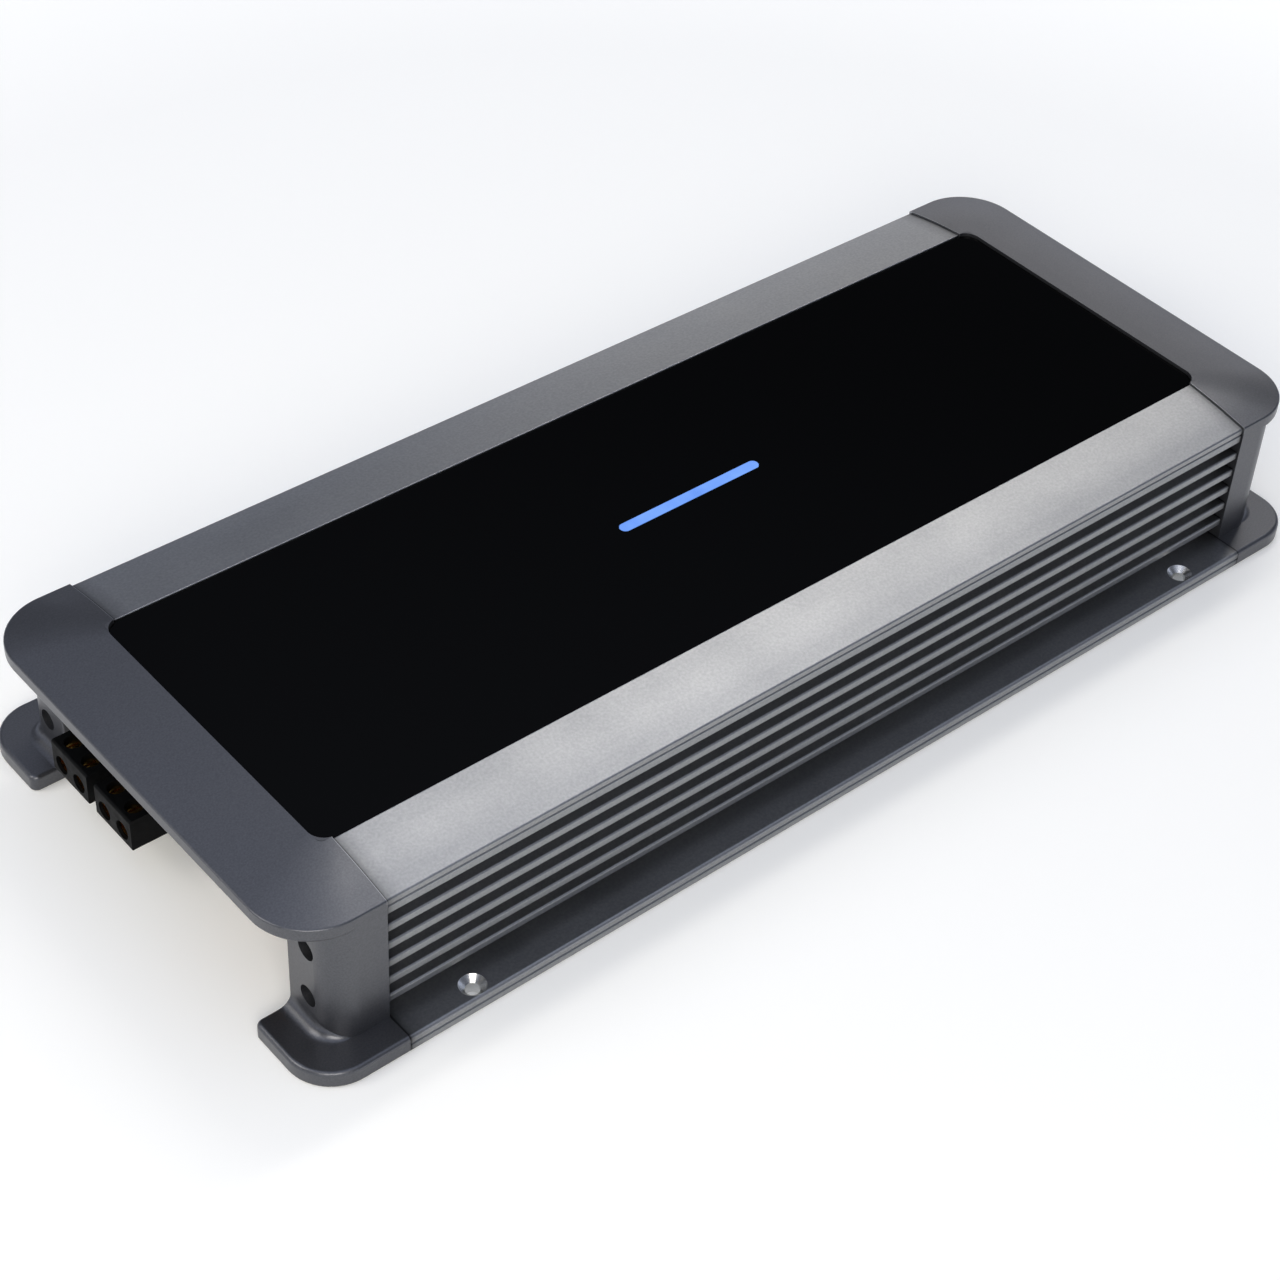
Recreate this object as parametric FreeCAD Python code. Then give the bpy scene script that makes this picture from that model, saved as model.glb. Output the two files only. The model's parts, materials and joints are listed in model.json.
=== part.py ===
import FreeCAD, Part
import math
import os

# Car audio amplifier: a finned aluminium extrusion closed by two die-cast end caps, with a
# glass panel let into its top.  Millimetres, +Z up, origin at the centre of the base.
# +X runs along the length, -Y is the front, the supply and loudspeaker terminals are at -X
# and the signal side is at +X.

# ---- overall -------------------------------------------------------------------------
BODY_LENGTH = 370.0          # extrusion, from cap seam to cap seam
HEIGHT = 60.0                # crown of the end caps
BODY_WIDTH = 170.8           # over the side walls of the end caps
FLANGE_REACH = 10.2          # mounting flange and feet, out from the cap's side wall
FLANGE_THICKNESS = 6.0
SEAM = 0.15                  # gap at each cap seam
SLIDE_FIT = 0.2              # clearance of a plate or housing in its opening
THREAD_FIT = 0.05            # radial clearance of a screw in its tapped hole

# ---- finned extrusion ----------------------------------------------------------------
BAR_STEP = 0.6               # the bars lie this far inside the caps, at the top and sides
SHOULDER_DROP = 4.0          # fall of the bars and caps from the glass to their outer edge
SHOULDER_BULGE = 0.5         # how far the bar stands above a straight slope
SHOULDER_RADIUS = 240.0
EDGE_RADIUS = 0.7
FIN_COUNT = 6
FIN_THICKNESS = 3.1
FIN_LOW = 11.7               # underside of the lowest fin
FIN_DEPTH = 5.8
FIN_TIP_RADIUS = 0.7
FIN_ROOT_RADIUS = 0.8
BAND_HEIGHT = 2.85           # plain band from the top fin to the edge of the bar
BAND_GROOVE = 0.9            # depth and width of the line between them
NOSE_RADIUS = 1.4
NOSE_GROOVE = 0.5
NOSE_GROOVE_HEIGHT = 3.0
TOP_WALL = 6.6               # under the glass
SIDE_WALL = 11.5             # behind the fin roots
CAVITY_RADIUS = 3.0
HOLE_END_INSET = 26.5        # mounting holes, from the end of the extrusion
HOLE_EDGE_INSET = 5.4        # mounting holes, from the edge of the flange
HOLE_RADIUS = 2.4
COUNTERSINK_RADIUS = 4.4

# ---- glass panel and its light bar ---------------------------------------------------
GLASS_REACH = 4.3             # over each end cap, past the seam's middle
GLASS_WIDTH = 116.8
GLASS_THICKNESS = 3.0
GLASS_CORNER = 6.0
GLASS_SINK = 0.6             # below the crown of the bars
GLASS_GAP = 0.3              # round the edge of the glass
GLASS_BED = 0.2              # adhesive under the glass
LIGHT_X = 0.0
LIGHT_Y = 0.0
LIGHT_LENGTH = 60.0
LIGHT_WIDTH = 4.0
LENS_MARGIN = 1.5            # the lens foot is this much larger all round
LIGHT_BOARD_MARGIN = 4.0
LIGHT_BOARD_THICKNESS = 1.2

# ---- end caps ------------------------------------------------------------------------
CAP_REACH = 32.5             # roof and feet, from the seam outwards
PILLAR_DEPTH = 19.8          # pillars, from the seam outwards
PILLAR_WIDTH = 22.9
PILLAR_RADIUS = 10.0
LIP_THICKNESS = 5.1
ROOF_RADIUS = 21.0
FOOT_RADIUS = 20.5
FOOT_INNER_RADIUS = 2.5
COVE_RADIUS = 4.5             # fillet between a pillar's end face and its foot
COVE_FADE = 0.75              # share of the pillar's corner over which the cove dies away
COVE_TAIL = 0.05              # its last size, as a share of the first
COVE_SINK = 0.1               # the cove reaches this share of its size into the pillar and foot
COVE_STEPS = 4
LIP_EDGE_RADIUS = 1.2
FAN_STEPS = 6                 # sections in each round corner of the roof

# ---- cap screws ----------------------------------------------------------------------
CAP_SCREW_INSET = 12.9       # from the side wall of the cap
CAP_SCREW_LOW = 17.6
CAP_SCREW_RISE = 20.0
CAP_SCREW_RADIUS = 2.0
CAP_SCREW_HEAD_RADIUS = 3.3
CAP_SCREW_HEAD = 4.0
CAP_SCREW_LENGTH = 16.0
CAP_SCREW_KEY = 1.5          # half the key width of the socket
COUNTERBORE_RADIUS = 3.7
COUNTERBORE_DEPTH = 13.0
CLEARANCE_HOLE_RADIUS = 2.3

# ---- bottom plate --------------------------------------------------------------------
PLATE_THICKNESS = 1.5
PLATE_SINK = 1.6             # the plate lies this far above the flange undersides
PLATE_LEDGE = 7.4            # ledge of the side wall that the plate is screwed to
PLATE_SCREW_COUNT = 5
PLATE_SCREW_RADIUS = 1.5
PLATE_SCREW_HEAD_RADIUS = 2.8
PLATE_SCREW_HEAD = 1.3
PLATE_SCREW_LENGTH = 8.0
PLATE_SCREW_MARGIN = 22.0    # first screw from the end of the plate
VENT_COUNT = 9
VENT_LENGTH = 26.0
VENT_WIDTH = 3.0
VENT_PITCH = 8.0

# ---- end panels ----------------------------------------------------------------------
PANEL_THICKNESS = 2.0
PANEL_GAP = 0.3              # between panel and cavity

# ---- main board ----------------------------------------------------------------------
BOARD_THICKNESS = 1.6
BOARD_TOP = 15.8
BOARD_END_GAP = 1.0          # from the board to each end panel
BOARD_SIDE_GAP = 0.8
STANDOFF_KEY = 5.5           # across flats
STANDOFF_INSET_X = 18.0
STANDOFF_INSET_Y = 10.0
BOARD_SCREW_RADIUS = 1.5
BOARD_SCREW_HEAD_RADIUS = 2.75
BOARD_SCREW_HEAD = 1.8
BOARD_SCREW_LENGTH = 6.0

# ---- wire terminals ------------------------------------------------------------------
BLOCK_WIDTH = 20.5
BLOCK_HEIGHT = 12.2
BLOCK_FRONT = 28.3           # front face, from the seam outwards
BLOCK_TAIL = 10.0            # inside the panel
BLOCK_CHAMFER = 1.0
POWER_BLOCK_SHARE = 0.704     # place across the cable bay, 0 at its middle and 1 at a pillar
SPEAKER_BLOCK_SHARE = 0.304
POLE_PITCH = 10.2
POLE_SETBACK = 4.8           # set screw behind the front face
WIRE_BORE_RADIUS = 2.8
WIRE_BORE_HEIGHT = 4.9       # above the foot of the block
WIRE_MOUTH_RADIUS = 3.3
CLAMP_WIDTH = 7.4
CLAMP_LENGTH = 9.0
CLAMP_BASE = 0.9             # brass under the wire bore
CLAMP_TOP = 2.1              # brass above the wire bore, tapped for the set screw
CLAMP_FRONT = 1.2            # plastic in front of the clamp
SET_SCREW_RADIUS = 2.4
SET_SCREW_LENGTH = 3.2
SET_SCREW_SLOT = 0.8
SCREW_WELL_RADIUS = 2.9

# ---- fuses ---------------------------------------------------------------------------
FUSE_HOLDER_WIDTH = 48.0
FUSE_HOLDER_HEIGHT = 12.2
FUSE_HOLDER_FRONT = 3.0      # holder face, from the seam outwards
FUSE_HOLDER_TAIL = 14.0
FUSE_HOLDER_SHARE = -0.56
FUSE_PITCH = 23.0
FUSE_WIDTH = 19.2
FUSE_THICKNESS = 5.1
FUSE_HEAD = 11.0
FUSE_SEAT = 3.5              # depth of the head in the holder
BLADE_WIDTH = 5.2
BLADE_THICKNESS = 0.7
BLADE_LENGTH = 7.5
BLADE_SPACING = 12.6

# ---- signal side ---------------------------------------------------------------------
RCA_BLOCK_WIDTH = 30.0
RCA_HEADROOM = 5.2           # from the block to the roof of the cavity
RCA_BLOCK_DEPTH = 12.0
RCA_SHARE = -0.608            # places across the cable bay, as for the terminals
RCA_PITCH = 14.0
RCA_SLEEVE_RADIUS = 4.15
RCA_SLEEVE_WALL = 0.5
RCA_SLEEVE_LENGTH = 9.0      # free length in front of the collar
RCA_COLLAR = 0.75            # the collar in the panel is this much larger
RCA_COLLAR_REACH = 0.6       # collar in front of the panel
RCA_CORE_RADIUS = 2.6
RCA_CORE_SETBACK = 1.0       # from the mouth of the sleeve
RCA_PIN_RADIUS = 1.6
KNOB_COUNT = 3
KNOB_SHARE = 0.096            # first knob
KNOB_STEP_SHARE = 0.24
KNOB_RADIUS = 4.2
KNOB_LENGTH = 7.0
KNOB_GAP = 0.4               # from the panel
KNOB_SLOT = 0.9
SHAFT_RADIUS = 2.0
SHAFT_FIT = 0.05
KNOB_HEIGHT = 8.5            # shaft above the board
POT_SIZE = 11.0
POT_DEPTH = 9.0
SWITCH_SHARE = -0.16
SWITCH_WIDTH = 13.0
SWITCH_HEIGHT = 8.0
SWITCH_DEPTH = 7.0
LEVER_SIZE = 3.6
LEVER_REACH = 3.5            # out of the panel
LEVER_TRAVEL = 2.0           # each way
LEVER_HEIGHT = 5.0           # above the board
PLUG_SHARE = 0.856
PLUG_WIDTH = 13.0
PLUG_HEIGHT = 9.5
PLUG_DEPTH = 12.0
PLUG_WALL = 1.2
PLUG_PIN_COUNT = 3
PLUG_PIN_PITCH = 3.5
PLUG_PIN_LENGTH = 5.0
PLUG_PIN_RADIUS = 0.6
LED_HEIGHT = 16.0            # above the board
LED_RADIUS = 1.5

# ---- power stage ---------------------------------------------------------------------
PAD_THICKNESS = 0.5
PAD_MARGIN = 2.0
TRANSISTOR_COUNT = 8
TRANSISTOR_PITCH = 38.0
TRANSISTOR_WIDTH = 15.9
TRANSISTOR_HEIGHT = 20.8
TRANSISTOR_THICKNESS = 5.0
TRANSISTOR_SHARE = 0.568     # lift off the board, as a share of the room for it
LEG_PITCH = 5.45
LEG_WIDTH = 1.2
LEG_THICKNESS = 0.6
BAR_HEIGHT = 9.0
BAR_THICKNESS = 3.5
BAR_SCREW_RADIUS = 1.5
BAR_SCREW_HEAD_RADIUS = 2.75
BAR_SCREW_HEAD = 2.5
BAR_SCREW_BITE = 6.0         # length in the side wall
TOROID_SHARE = -0.484        # places along the board, 0 at its middle and 1 at its end
TOROID_RADIUS = 31.0
TOROID_HOLE = 12.0
TOROID_HEIGHT = 24.0
TOROID_ROUND = 6.0
TOROID_BASE = 2.0
CHOKE_SHARE = 0.505
CHOKE_RADIUS = 19.0
CHOKE_HOLE = 7.0
CHOKE_HEIGHT = 17.0
CHOKE_ROUND = 4.0
CAPACITOR_GAP = 3.0          # between neighbouring capacitors
CAPACITOR_MARGIN = 2.5       # from the row to each clamp bar
CAPACITOR_HEADROOM = 1.0     # under the light bar's board
CAPACITOR_COUNT = 4
CAPACITOR_SHARE = -0.088
CAPACITOR_CRIMP = 0.8
FILM_SHARE = 0.253
FILM_LENGTH = 26.0
FILM_WIDTH = 10.0
FILM_HEIGHT = 18.0
FILM_PITCH = 24.0
FILM_COUNT = 4
DRIVER_SHARE = 0.703
DRIVER_LENGTH = 76.0
DRIVER_HEADROOM = 5.2
DRIVER_THICKNESS = 1.6
HEADER_WIDTH = 5.0
HEADER_HEIGHT = 4.0

# ---- levels and planes that follow from the sizes --------------------------------------
SEAM_X = BODY_LENGTH / 2
GLASS_LENGTH = BODY_LENGTH + 2 * GLASS_REACH
CAP_END = SEAM_X + CAP_REACH
PILLAR_END = SEAM_X + PILLAR_DEPTH
SIDE = BODY_WIDTH / 2
TIP = SIDE - BAR_STEP
ROOT = TIP - FIN_DEPTH
WALL_INNER = ROOT - SIDE_WALL
FLANGE_SIDE = SIDE + FLANGE_REACH
HOLE_SPACING_X = BODY_LENGTH - 2 * HOLE_END_INSET
HOLE_SPACING_Y = 2 * (FLANGE_SIDE - HOLE_EDGE_INSET)
CROWN = HEIGHT - BAR_STEP
FIN_HIGH = CROWN - SHOULDER_DROP - BAND_HEIGHT - FIN_THICKNESS
FIN_PITCH = (FIN_HIGH - FIN_LOW) / (FIN_COUNT - 1)
GLASS_TOP = CROWN - GLASS_SINK
GLASS_UNDER = GLASS_TOP - GLASS_THICKNESS
POCKET_FLOOR = GLASS_UNDER - GLASS_BED
CAVITY_TOP = POCKET_FLOOR - TOP_WALL
POCKET_SIDE = GLASS_WIDTH / 2 + GLASS_GAP
POCKET_END = GLASS_LENGTH / 2 + GLASS_GAP
PLATE_TOP = PLATE_SINK + PLATE_THICKNESS
PLATE_SIDE = WALL_INNER + PLATE_LEDGE
PLATE_SCREW_Y = WALL_INNER + PLATE_LEDGE / 2
LIP_UNDER = HEIGHT - SHOULDER_DROP - LIP_THICKNESS
PILLAR_INNER = SIDE - PILLAR_WIDTH
CAP_SCREW_Y = SIDE - CAP_SCREW_INSET
CAP_SCREW_LEVELS = (CAP_SCREW_LOW, CAP_SCREW_LOW + CAP_SCREW_RISE)
COUNTERBORE_FLOOR = PILLAR_END - COUNTERBORE_DEPTH
PANEL_INNER = SEAM_X - PANEL_THICKNESS
PANEL_SIDE = WALL_INNER - PANEL_GAP
BOARD_UNDER = BOARD_TOP - BOARD_THICKNESS
BOARD_END = PANEL_INNER - BOARD_END_GAP
BOARD_SIDE = WALL_INNER - BOARD_SIDE_GAP
BLOCK_FACE = SEAM_X + BLOCK_FRONT
POLE_X = BLOCK_FACE - POLE_SETBACK
WIRE_LEVEL = BOARD_TOP + WIRE_BORE_HEIGHT
CLAMP_ROOF = WIRE_LEVEL + WIRE_BORE_RADIUS + CLAMP_TOP
FUSE_FACE = SEAM_X + FUSE_HOLDER_FRONT
FUSE_FLOOR = FUSE_FACE - FUSE_SEAT
FUSE_LEVEL = BOARD_TOP + FUSE_HOLDER_HEIGHT / 2
KNOB_LEVEL = BOARD_TOP + KNOB_HEIGHT
KNOB_BACK = SEAM_X + KNOB_GAP
LEVER_LEVEL = BOARD_TOP + LEVER_HEIGHT
LED_LEVEL = BOARD_TOP + LED_HEIGHT
PAD_FACE = WALL_INNER - PAD_THICKNESS
TRANSISTOR_FACE = PAD_FACE - TRANSISTOR_THICKNESS
TRANSISTOR_ROOM = (CAVITY_TOP - CAVITY_RADIUS - BOARD_TOP
                   - TRANSISTOR_HEIGHT - PAD_MARGIN)
TRANSISTOR_LOW = BOARD_TOP + TRANSISTOR_SHARE * TRANSISTOR_ROOM
BAR_LEVEL = TRANSISTOR_LOW + TRANSISTOR_HEIGHT / 2
BAR_FACE = TRANSISTOR_FACE - BAR_THICKNESS
POWER_BLOCK_Y = POWER_BLOCK_SHARE * PILLAR_INNER
SPEAKER_BLOCK_Y = SPEAKER_BLOCK_SHARE * PILLAR_INNER
FUSE_HOLDER_Y = FUSE_HOLDER_SHARE * PILLAR_INNER
RCA_Y = RCA_SHARE * PILLAR_INNER
RCA_END = SEAM_X + RCA_COLLAR_REACH + RCA_SLEEVE_LENGTH
KNOB_Y = KNOB_SHARE * PILLAR_INNER
KNOB_PITCH = KNOB_STEP_SHARE * PILLAR_INNER
SWITCH_Y = SWITCH_SHARE * PILLAR_INNER
LED_Y = SWITCH_Y
PLUG_Y = PLUG_SHARE * PILLAR_INNER
TOROID_X = TOROID_SHARE * BOARD_END
CAPACITOR_X = CAPACITOR_SHARE * BOARD_END
FILM_X = FILM_SHARE * BOARD_END
CHOKE_X = CHOKE_SHARE * BOARD_END
DRIVER_X = DRIVER_SHARE * BOARD_END
CAPACITOR_PITCH = 2 * (BAR_FACE - CAPACITOR_MARGIN) / CAPACITOR_COUNT
CAPACITOR_RADIUS = (CAPACITOR_PITCH - CAPACITOR_GAP) / 2
LIGHT_BOARD_LOW = CAVITY_TOP - LIGHT_BOARD_THICKNESS
CAPACITOR_HEIGHT = LIGHT_BOARD_LOW - CAPACITOR_HEADROOM - BOARD_TOP
RCA_BLOCK_HEIGHT = CAVITY_TOP - RCA_HEADROOM - BOARD_TOP
DRIVER_HEIGHT = CAVITY_TOP - DRIVER_HEADROOM - BOARD_TOP - HEADER_HEIGHT


def vec(x, y, z):
    return FreeCAD.Vector(x, y, z)


ORIGIN = vec(0, 0, 0)
ALONG = vec(1, 0, 0)
ACROSS = vec(0, 1, 0)
UP = vec(0, 0, 1)


# ---- shared operations ---------------------------------------------------------------
def block(x0, x1, y0, y1, z0, z1):
    return Part.makeBox(x1 - x0, y1 - y0, z1 - z0, vec(x0, y0, z0))


def join(shapes):
    return shapes[0].multiFuse(shapes[1:]).removeSplitter()


def cut_all(shape, tools):
    return shape.cut(Part.makeCompound(tools)) if tools else shape


def mirror_x(shape):
    return shape.mirror(ORIGIN, ALONG)


def mirror_y(shape):
    return shape.mirror(ORIGIN, ACROSS)


def both_sides(shape):
    return [shape, mirror_y(shape)]


def corner(before, here, after, radius):
    """Start, middle and end of the arc that rounds one corner of a flat outline."""
    back = before - here
    ahead = after - here
    room = 0.49 * min(back.Length, ahead.Length)
    back.normalize()
    ahead.normalize()
    half = back.getAngle(ahead) / 2
    reach = min(radius / math.tan(half), room)
    middle_way = back + ahead
    middle_way.normalize()
    to_centre = reach / math.cos(half)
    true_radius = reach * math.tan(half)
    middle = here + middle_way * (to_centre - true_radius)
    return here + back * reach, middle, here + ahead * reach


def outline(points, place):
    """Closed wire through (u, v, radius) points, each corner rounded by its radius."""
    spots = [place(u, v) for u, v, radius in points]
    pieces = []
    for index, (u, v, radius) in enumerate(points):
        here = spots[index]
        if radius > 0:
            after = spots[(index + 1) % len(spots)]
            pieces.append(corner(spots[index - 1], here, after, radius))
        else:
            pieces.append((here, here, here))
    edges = []
    for index, (start, middle, end) in enumerate(pieces):
        if (end - start).Length > 0:
            edges.append(Part.Arc(start, middle, end).toShape())
        following = pieces[(index + 1) % len(pieces)][0]
        edges.append(Part.makeLine(end, following))
    return Part.Wire(edges)


def prism(points, place, sweep):
    return Part.Face(outline(points, place)).extrude(sweep)


def slab(points, low, high):
    """Flat outline in plan, from one level up to another."""
    return prism(points, lambda x, y: vec(x, y, low), vec(0, 0, high - low))


def rounded_rectangle(x, y, length, width, radius):
    a, b = length / 2, width / 2
    return [(x - a, y - b, radius), (x + a, y - b, radius),
            (x + a, y + b, radius), (x - a, y + b, radius)]


def spread(count, pitch):
    """Evenly spaced places about zero."""
    return [pitch * (index - (count - 1) / 2) for index in range(count)]


def edges_at(shape, test):
    return [edge for edge in shape.Edges if test(edge)]


def flat_at(edge, level):
    box = edge.BoundBox
    return abs(box.ZMin - level) < 1e-4 and abs(box.ZMax - level) < 1e-4


def cap_head_screw(radius, length, head_radius, head, key, seat, way):
    """Screw with a socket head whose shoulder is at `seat`; `way` points along the shank."""
    shank = Part.makeCylinder(radius, length, seat, way)
    top = Part.makeCylinder(head_radius, head, seat - way * head, way)
    socket = hexagon(key, head / 2, seat - way * head, way)
    return join([shank, top]).cut(socket)


def hexagon(half_key, depth, start, way):
    corner_radius = half_key / math.cos(math.pi / 6)
    ring = Part.makePolygon([
        vec(corner_radius * math.cos(k * math.pi / 3), corner_radius * math.sin(k * math.pi / 3), 0)
        for k in range(7)])
    bar = Part.Face(ring).extrude(vec(0, 0, depth))
    bar.Placement = FreeCAD.Placement(start, FreeCAD.Rotation(UP, way))
    return bar


# ---- extrusion -----------------------------------------------------------------------
def shoulder(inner, outer, top):
    """Crest and outer edge of a gently domed slope, as profile points."""
    crest = (inner + outer) / 2
    return [(crest, top - SHOULDER_DROP / 2 + SHOULDER_BULGE, SHOULDER_RADIUS),
            (outer, top - SHOULDER_DROP, EDGE_RADIUS)]


def fin_level(index):
    return FIN_LOW + FIN_PITCH * index


def fin_points():
    """Side of the extrusion from the line above the top fin down to the flange."""
    top = fin_level(FIN_COUNT - 1) + FIN_THICKNESS
    points = [(TIP, top + BAND_GROOVE, 0), (TIP - BAND_GROOVE, top + BAND_GROOVE / 2, 0)]
    for index in reversed(range(FIN_COUNT)):
        level = fin_level(index)
        floor = FLANGE_THICKNESS
        if index > 0:
            floor = fin_level(index - 1) + FIN_THICKNESS
        points.append((TIP, level + FIN_THICKNESS, FIN_TIP_RADIUS))
        points.append((TIP, level, FIN_TIP_RADIUS))
        points.append((ROOT, level, FIN_ROOT_RADIUS))
        points.append((ROOT, floor, FIN_ROOT_RADIUS))
    return points


def extrusion_half():
    nose = NOSE_GROOVE_HEIGHT
    points = [(POCKET_SIDE, POCKET_FLOOR, 0), (POCKET_SIDE, CROWN, GLASS_GAP)]
    points += shoulder(POCKET_SIDE, TIP, CROWN)
    points += fin_points()
    points += [(FLANGE_SIDE, FLANGE_THICKNESS, NOSE_RADIUS),
               (FLANGE_SIDE, nose + NOSE_GROOVE, 0),
               (FLANGE_SIDE - NOSE_GROOVE, nose, 0),
               (FLANGE_SIDE, nose - NOSE_GROOVE, 0),
               (FLANGE_SIDE, 0, EDGE_RADIUS),
               (PLATE_SIDE + SLIDE_FIT, 0, 0),
               (PLATE_SIDE + SLIDE_FIT, PLATE_TOP, 0),
               (WALL_INNER, PLATE_TOP, 0),
               (WALL_INNER, CAVITY_TOP, CAVITY_RADIUS)]
    return points


def mounting_holes():
    depth = COUNTERSINK_RADIUS - HOLE_RADIUS
    tools = []
    for x in (-HOLE_SPACING_X / 2, HOLE_SPACING_X / 2):
        for y in (-HOLE_SPACING_Y / 2, HOLE_SPACING_Y / 2):
            tools.append(Part.makeCylinder(HOLE_RADIUS, FLANGE_THICKNESS, vec(x, y, 0)))
            tools.append(Part.makeCone(HOLE_RADIUS, COUNTERSINK_RADIUS, depth,
                                       vec(x, y, FLANGE_THICKNESS - depth)))
    return tools


def cap_screw_places():
    return [(y, z) for y in (-CAP_SCREW_Y, CAP_SCREW_Y) for z in CAP_SCREW_LEVELS]


def bar_screw_places():
    """Clamp bar screws stand midway between neighbouring transistors."""
    return spread(TRANSISTOR_COUNT - 1, TRANSISTOR_PITCH)


def plate_screw_places():
    pitch = (BODY_LENGTH - 2 * PLATE_SCREW_MARGIN) / (PLATE_SCREW_COUNT - 1)
    return [(x, y) for x in spread(PLATE_SCREW_COUNT, pitch) for y in (-PLATE_SCREW_Y, PLATE_SCREW_Y)]


def light_slot(extra, low, high):
    points = rounded_rectangle(LIGHT_X, LIGHT_Y, LIGHT_LENGTH + 2 * extra, LIGHT_WIDTH + 2 * extra,
                               LIGHT_WIDTH / 2 + extra)
    return slab(points, low, high)


def heatsink_extrusion():
    half = extrusion_half()
    other = [(-y, z, radius) for y, z, radius in reversed(half)]
    body = prism(half + other, lambda y, z: vec(-SEAM_X, y, z), ALONG * BODY_LENGTH)
    tools = mounting_holes()
    channel = CAP_SCREW_RADIUS + THREAD_FIT
    for y, z in cap_screw_places():
        tools.append(Part.makeCylinder(channel, BODY_LENGTH, vec(-SEAM_X, y, z), ALONG))
    for x, y in plate_screw_places():
        tools.append(Part.makeCylinder(PLATE_SCREW_RADIUS + THREAD_FIT,
                                       PLATE_SCREW_LENGTH, vec(x, y, PLATE_TOP)))
    for x in bar_screw_places():
        hole = Part.makeCylinder(BAR_SCREW_RADIUS + THREAD_FIT, BAR_SCREW_BITE + THREAD_FIT,
                                 vec(x, WALL_INNER, BAR_LEVEL), ACROSS)
        tools += both_sides(hole)
    tools.append(light_slot(LENS_MARGIN + SLIDE_FIT, CAVITY_TOP, POCKET_FLOOR))
    return cut_all(body, tools)


# ---- end caps ------------------------------------------------------------------------
def roof_section(inner, outer):
    """Section of the roof on the line from the glass out to the lip, with both rims rounded."""
    points = [(0, HEIGHT, 0)] + shoulder(0, 1, HEIGHT)
    points += [(1, LIP_UNDER, LIP_EDGE_RADIUS), (0, LIP_UNDER, 0)]
    return outline(points, lambda share, z: inner + (outer - inner) * share + UP * z)


def on_corner(x, y, radius, turn):
    """Point on the round corner whose centre is at x, y, turned from the side to the end."""
    return vec(x + radius * math.sin(turn), y + radius * math.cos(turn), 0)


def roof_rim():
    """Sloping ring round the glass: straight runs, joined by lofts that fan out at the corners."""
    glass_x = GLASS_LENGTH / 2 - GLASS_CORNER
    glass_y = GLASS_WIDTH / 2 - GLASS_CORNER
    fan = [roof_section(on_corner(glass_x, glass_y, GLASS_CORNER, turn),
                        on_corner(CAP_END - ROOF_RADIUS, SIDE - ROOF_RADIUS, ROOF_RADIUS, turn))
           for turn in [math.pi / 2 * step / FAN_STEPS for step in range(FAN_STEPS + 1)]]
    behind = glass_x - GLASS_CORNER
    side_end = roof_section(vec(behind, GLASS_WIDTH / 2, 0), vec(behind, SIDE, 0))
    middle = roof_section(vec(GLASS_LENGTH / 2, 0, 0), vec(CAP_END, 0, 0))
    runs = [Part.makeLoft([side_end, fan[0]], True, True), Part.makeLoft(fan, True, False),
            Part.makeLoft([fan[-1], middle], True, True)]
    return runs + [mirror_y(run) for run in runs]


def roof():
    start = SEAM_X + SEAM
    crown = [(start, -GLASS_WIDTH / 2, 0), (GLASS_LENGTH / 2, -GLASS_WIDTH / 2, GLASS_CORNER),
             (GLASS_LENGTH / 2, GLASS_WIDTH / 2, GLASS_CORNER), (start, GLASS_WIDTH / 2, 0)]
    room = block(start, 2 * CAP_END, -BODY_WIDTH, BODY_WIDTH, 0, HEIGHT)
    return join([slab(crown, LIP_UNDER, HEIGHT)] + [run.common(room) for run in roof_rim()])


def pillar():
    start = SEAM_X + SEAM
    plan = [(start, PILLAR_INNER, 0), (PILLAR_END, PILLAR_INNER, EDGE_RADIUS),
            (PILLAR_END, SIDE, PILLAR_RADIUS), (start, SIDE, 0)]
    return slab(plan, 0, LIP_UNDER + LIP_THICKNESS / 2)


def foot():
    start = SEAM_X + SEAM
    plan = [(start, PILLAR_INNER, 0), (CAP_END, PILLAR_INNER, FOOT_INNER_RADIUS),
            (CAP_END, FLANGE_SIDE, FOOT_RADIUS), (start, FLANGE_SIDE, 0)]
    solid = slab(plan, 0, FLANGE_THICKNESS)
    rim = edges_at(solid, lambda edge: flat_at(edge, FLANGE_THICKNESS) and on_foot_rim(edge))
    solid = solid.makeFillet(NOSE_RADIUS, rim)
    sole = edges_at(solid, lambda edge: flat_at(edge, 0) and on_foot_rim(edge))
    return solid.makeFillet(EDGE_RADIUS, sole)


def on_foot_rim(edge):
    """The outer run of a foot's edge, from the seam round to the cable bay."""
    middle = edge.valueAt((edge.FirstParameter + edge.LastParameter) / 2)
    past_bay = middle.x > CAP_END - FOOT_RADIUS and middle.y > PILLAR_INNER + EDGE_RADIUS
    return middle.x > SEAM_X + 2 * SEAM and (past_bay or middle.y > SIDE)


def cove_section(corner_spot, way, size):
    """Fillet section between a pillar and its foot; `way` points out of the pillar."""
    sunk = -size * COVE_SINK
    spots = [corner_spot + way * out + UP * rise
             for out, rise in ((sunk, size), (sunk, sunk), (size, sunk), (size, 0), (0, size))]
    middle = corner_spot + (way + UP) * (size * (1 - math.sqrt(0.5)))
    lines = [Part.makeLine(spots[0], spots[1]), Part.makeLine(spots[1], spots[2]),
             Part.makeLine(spots[2], spots[3]), Part.Arc(spots[3], middle, spots[4]).toShape(),
             Part.makeLine(spots[4], spots[0])]
    return Part.Wire(lines)


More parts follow.
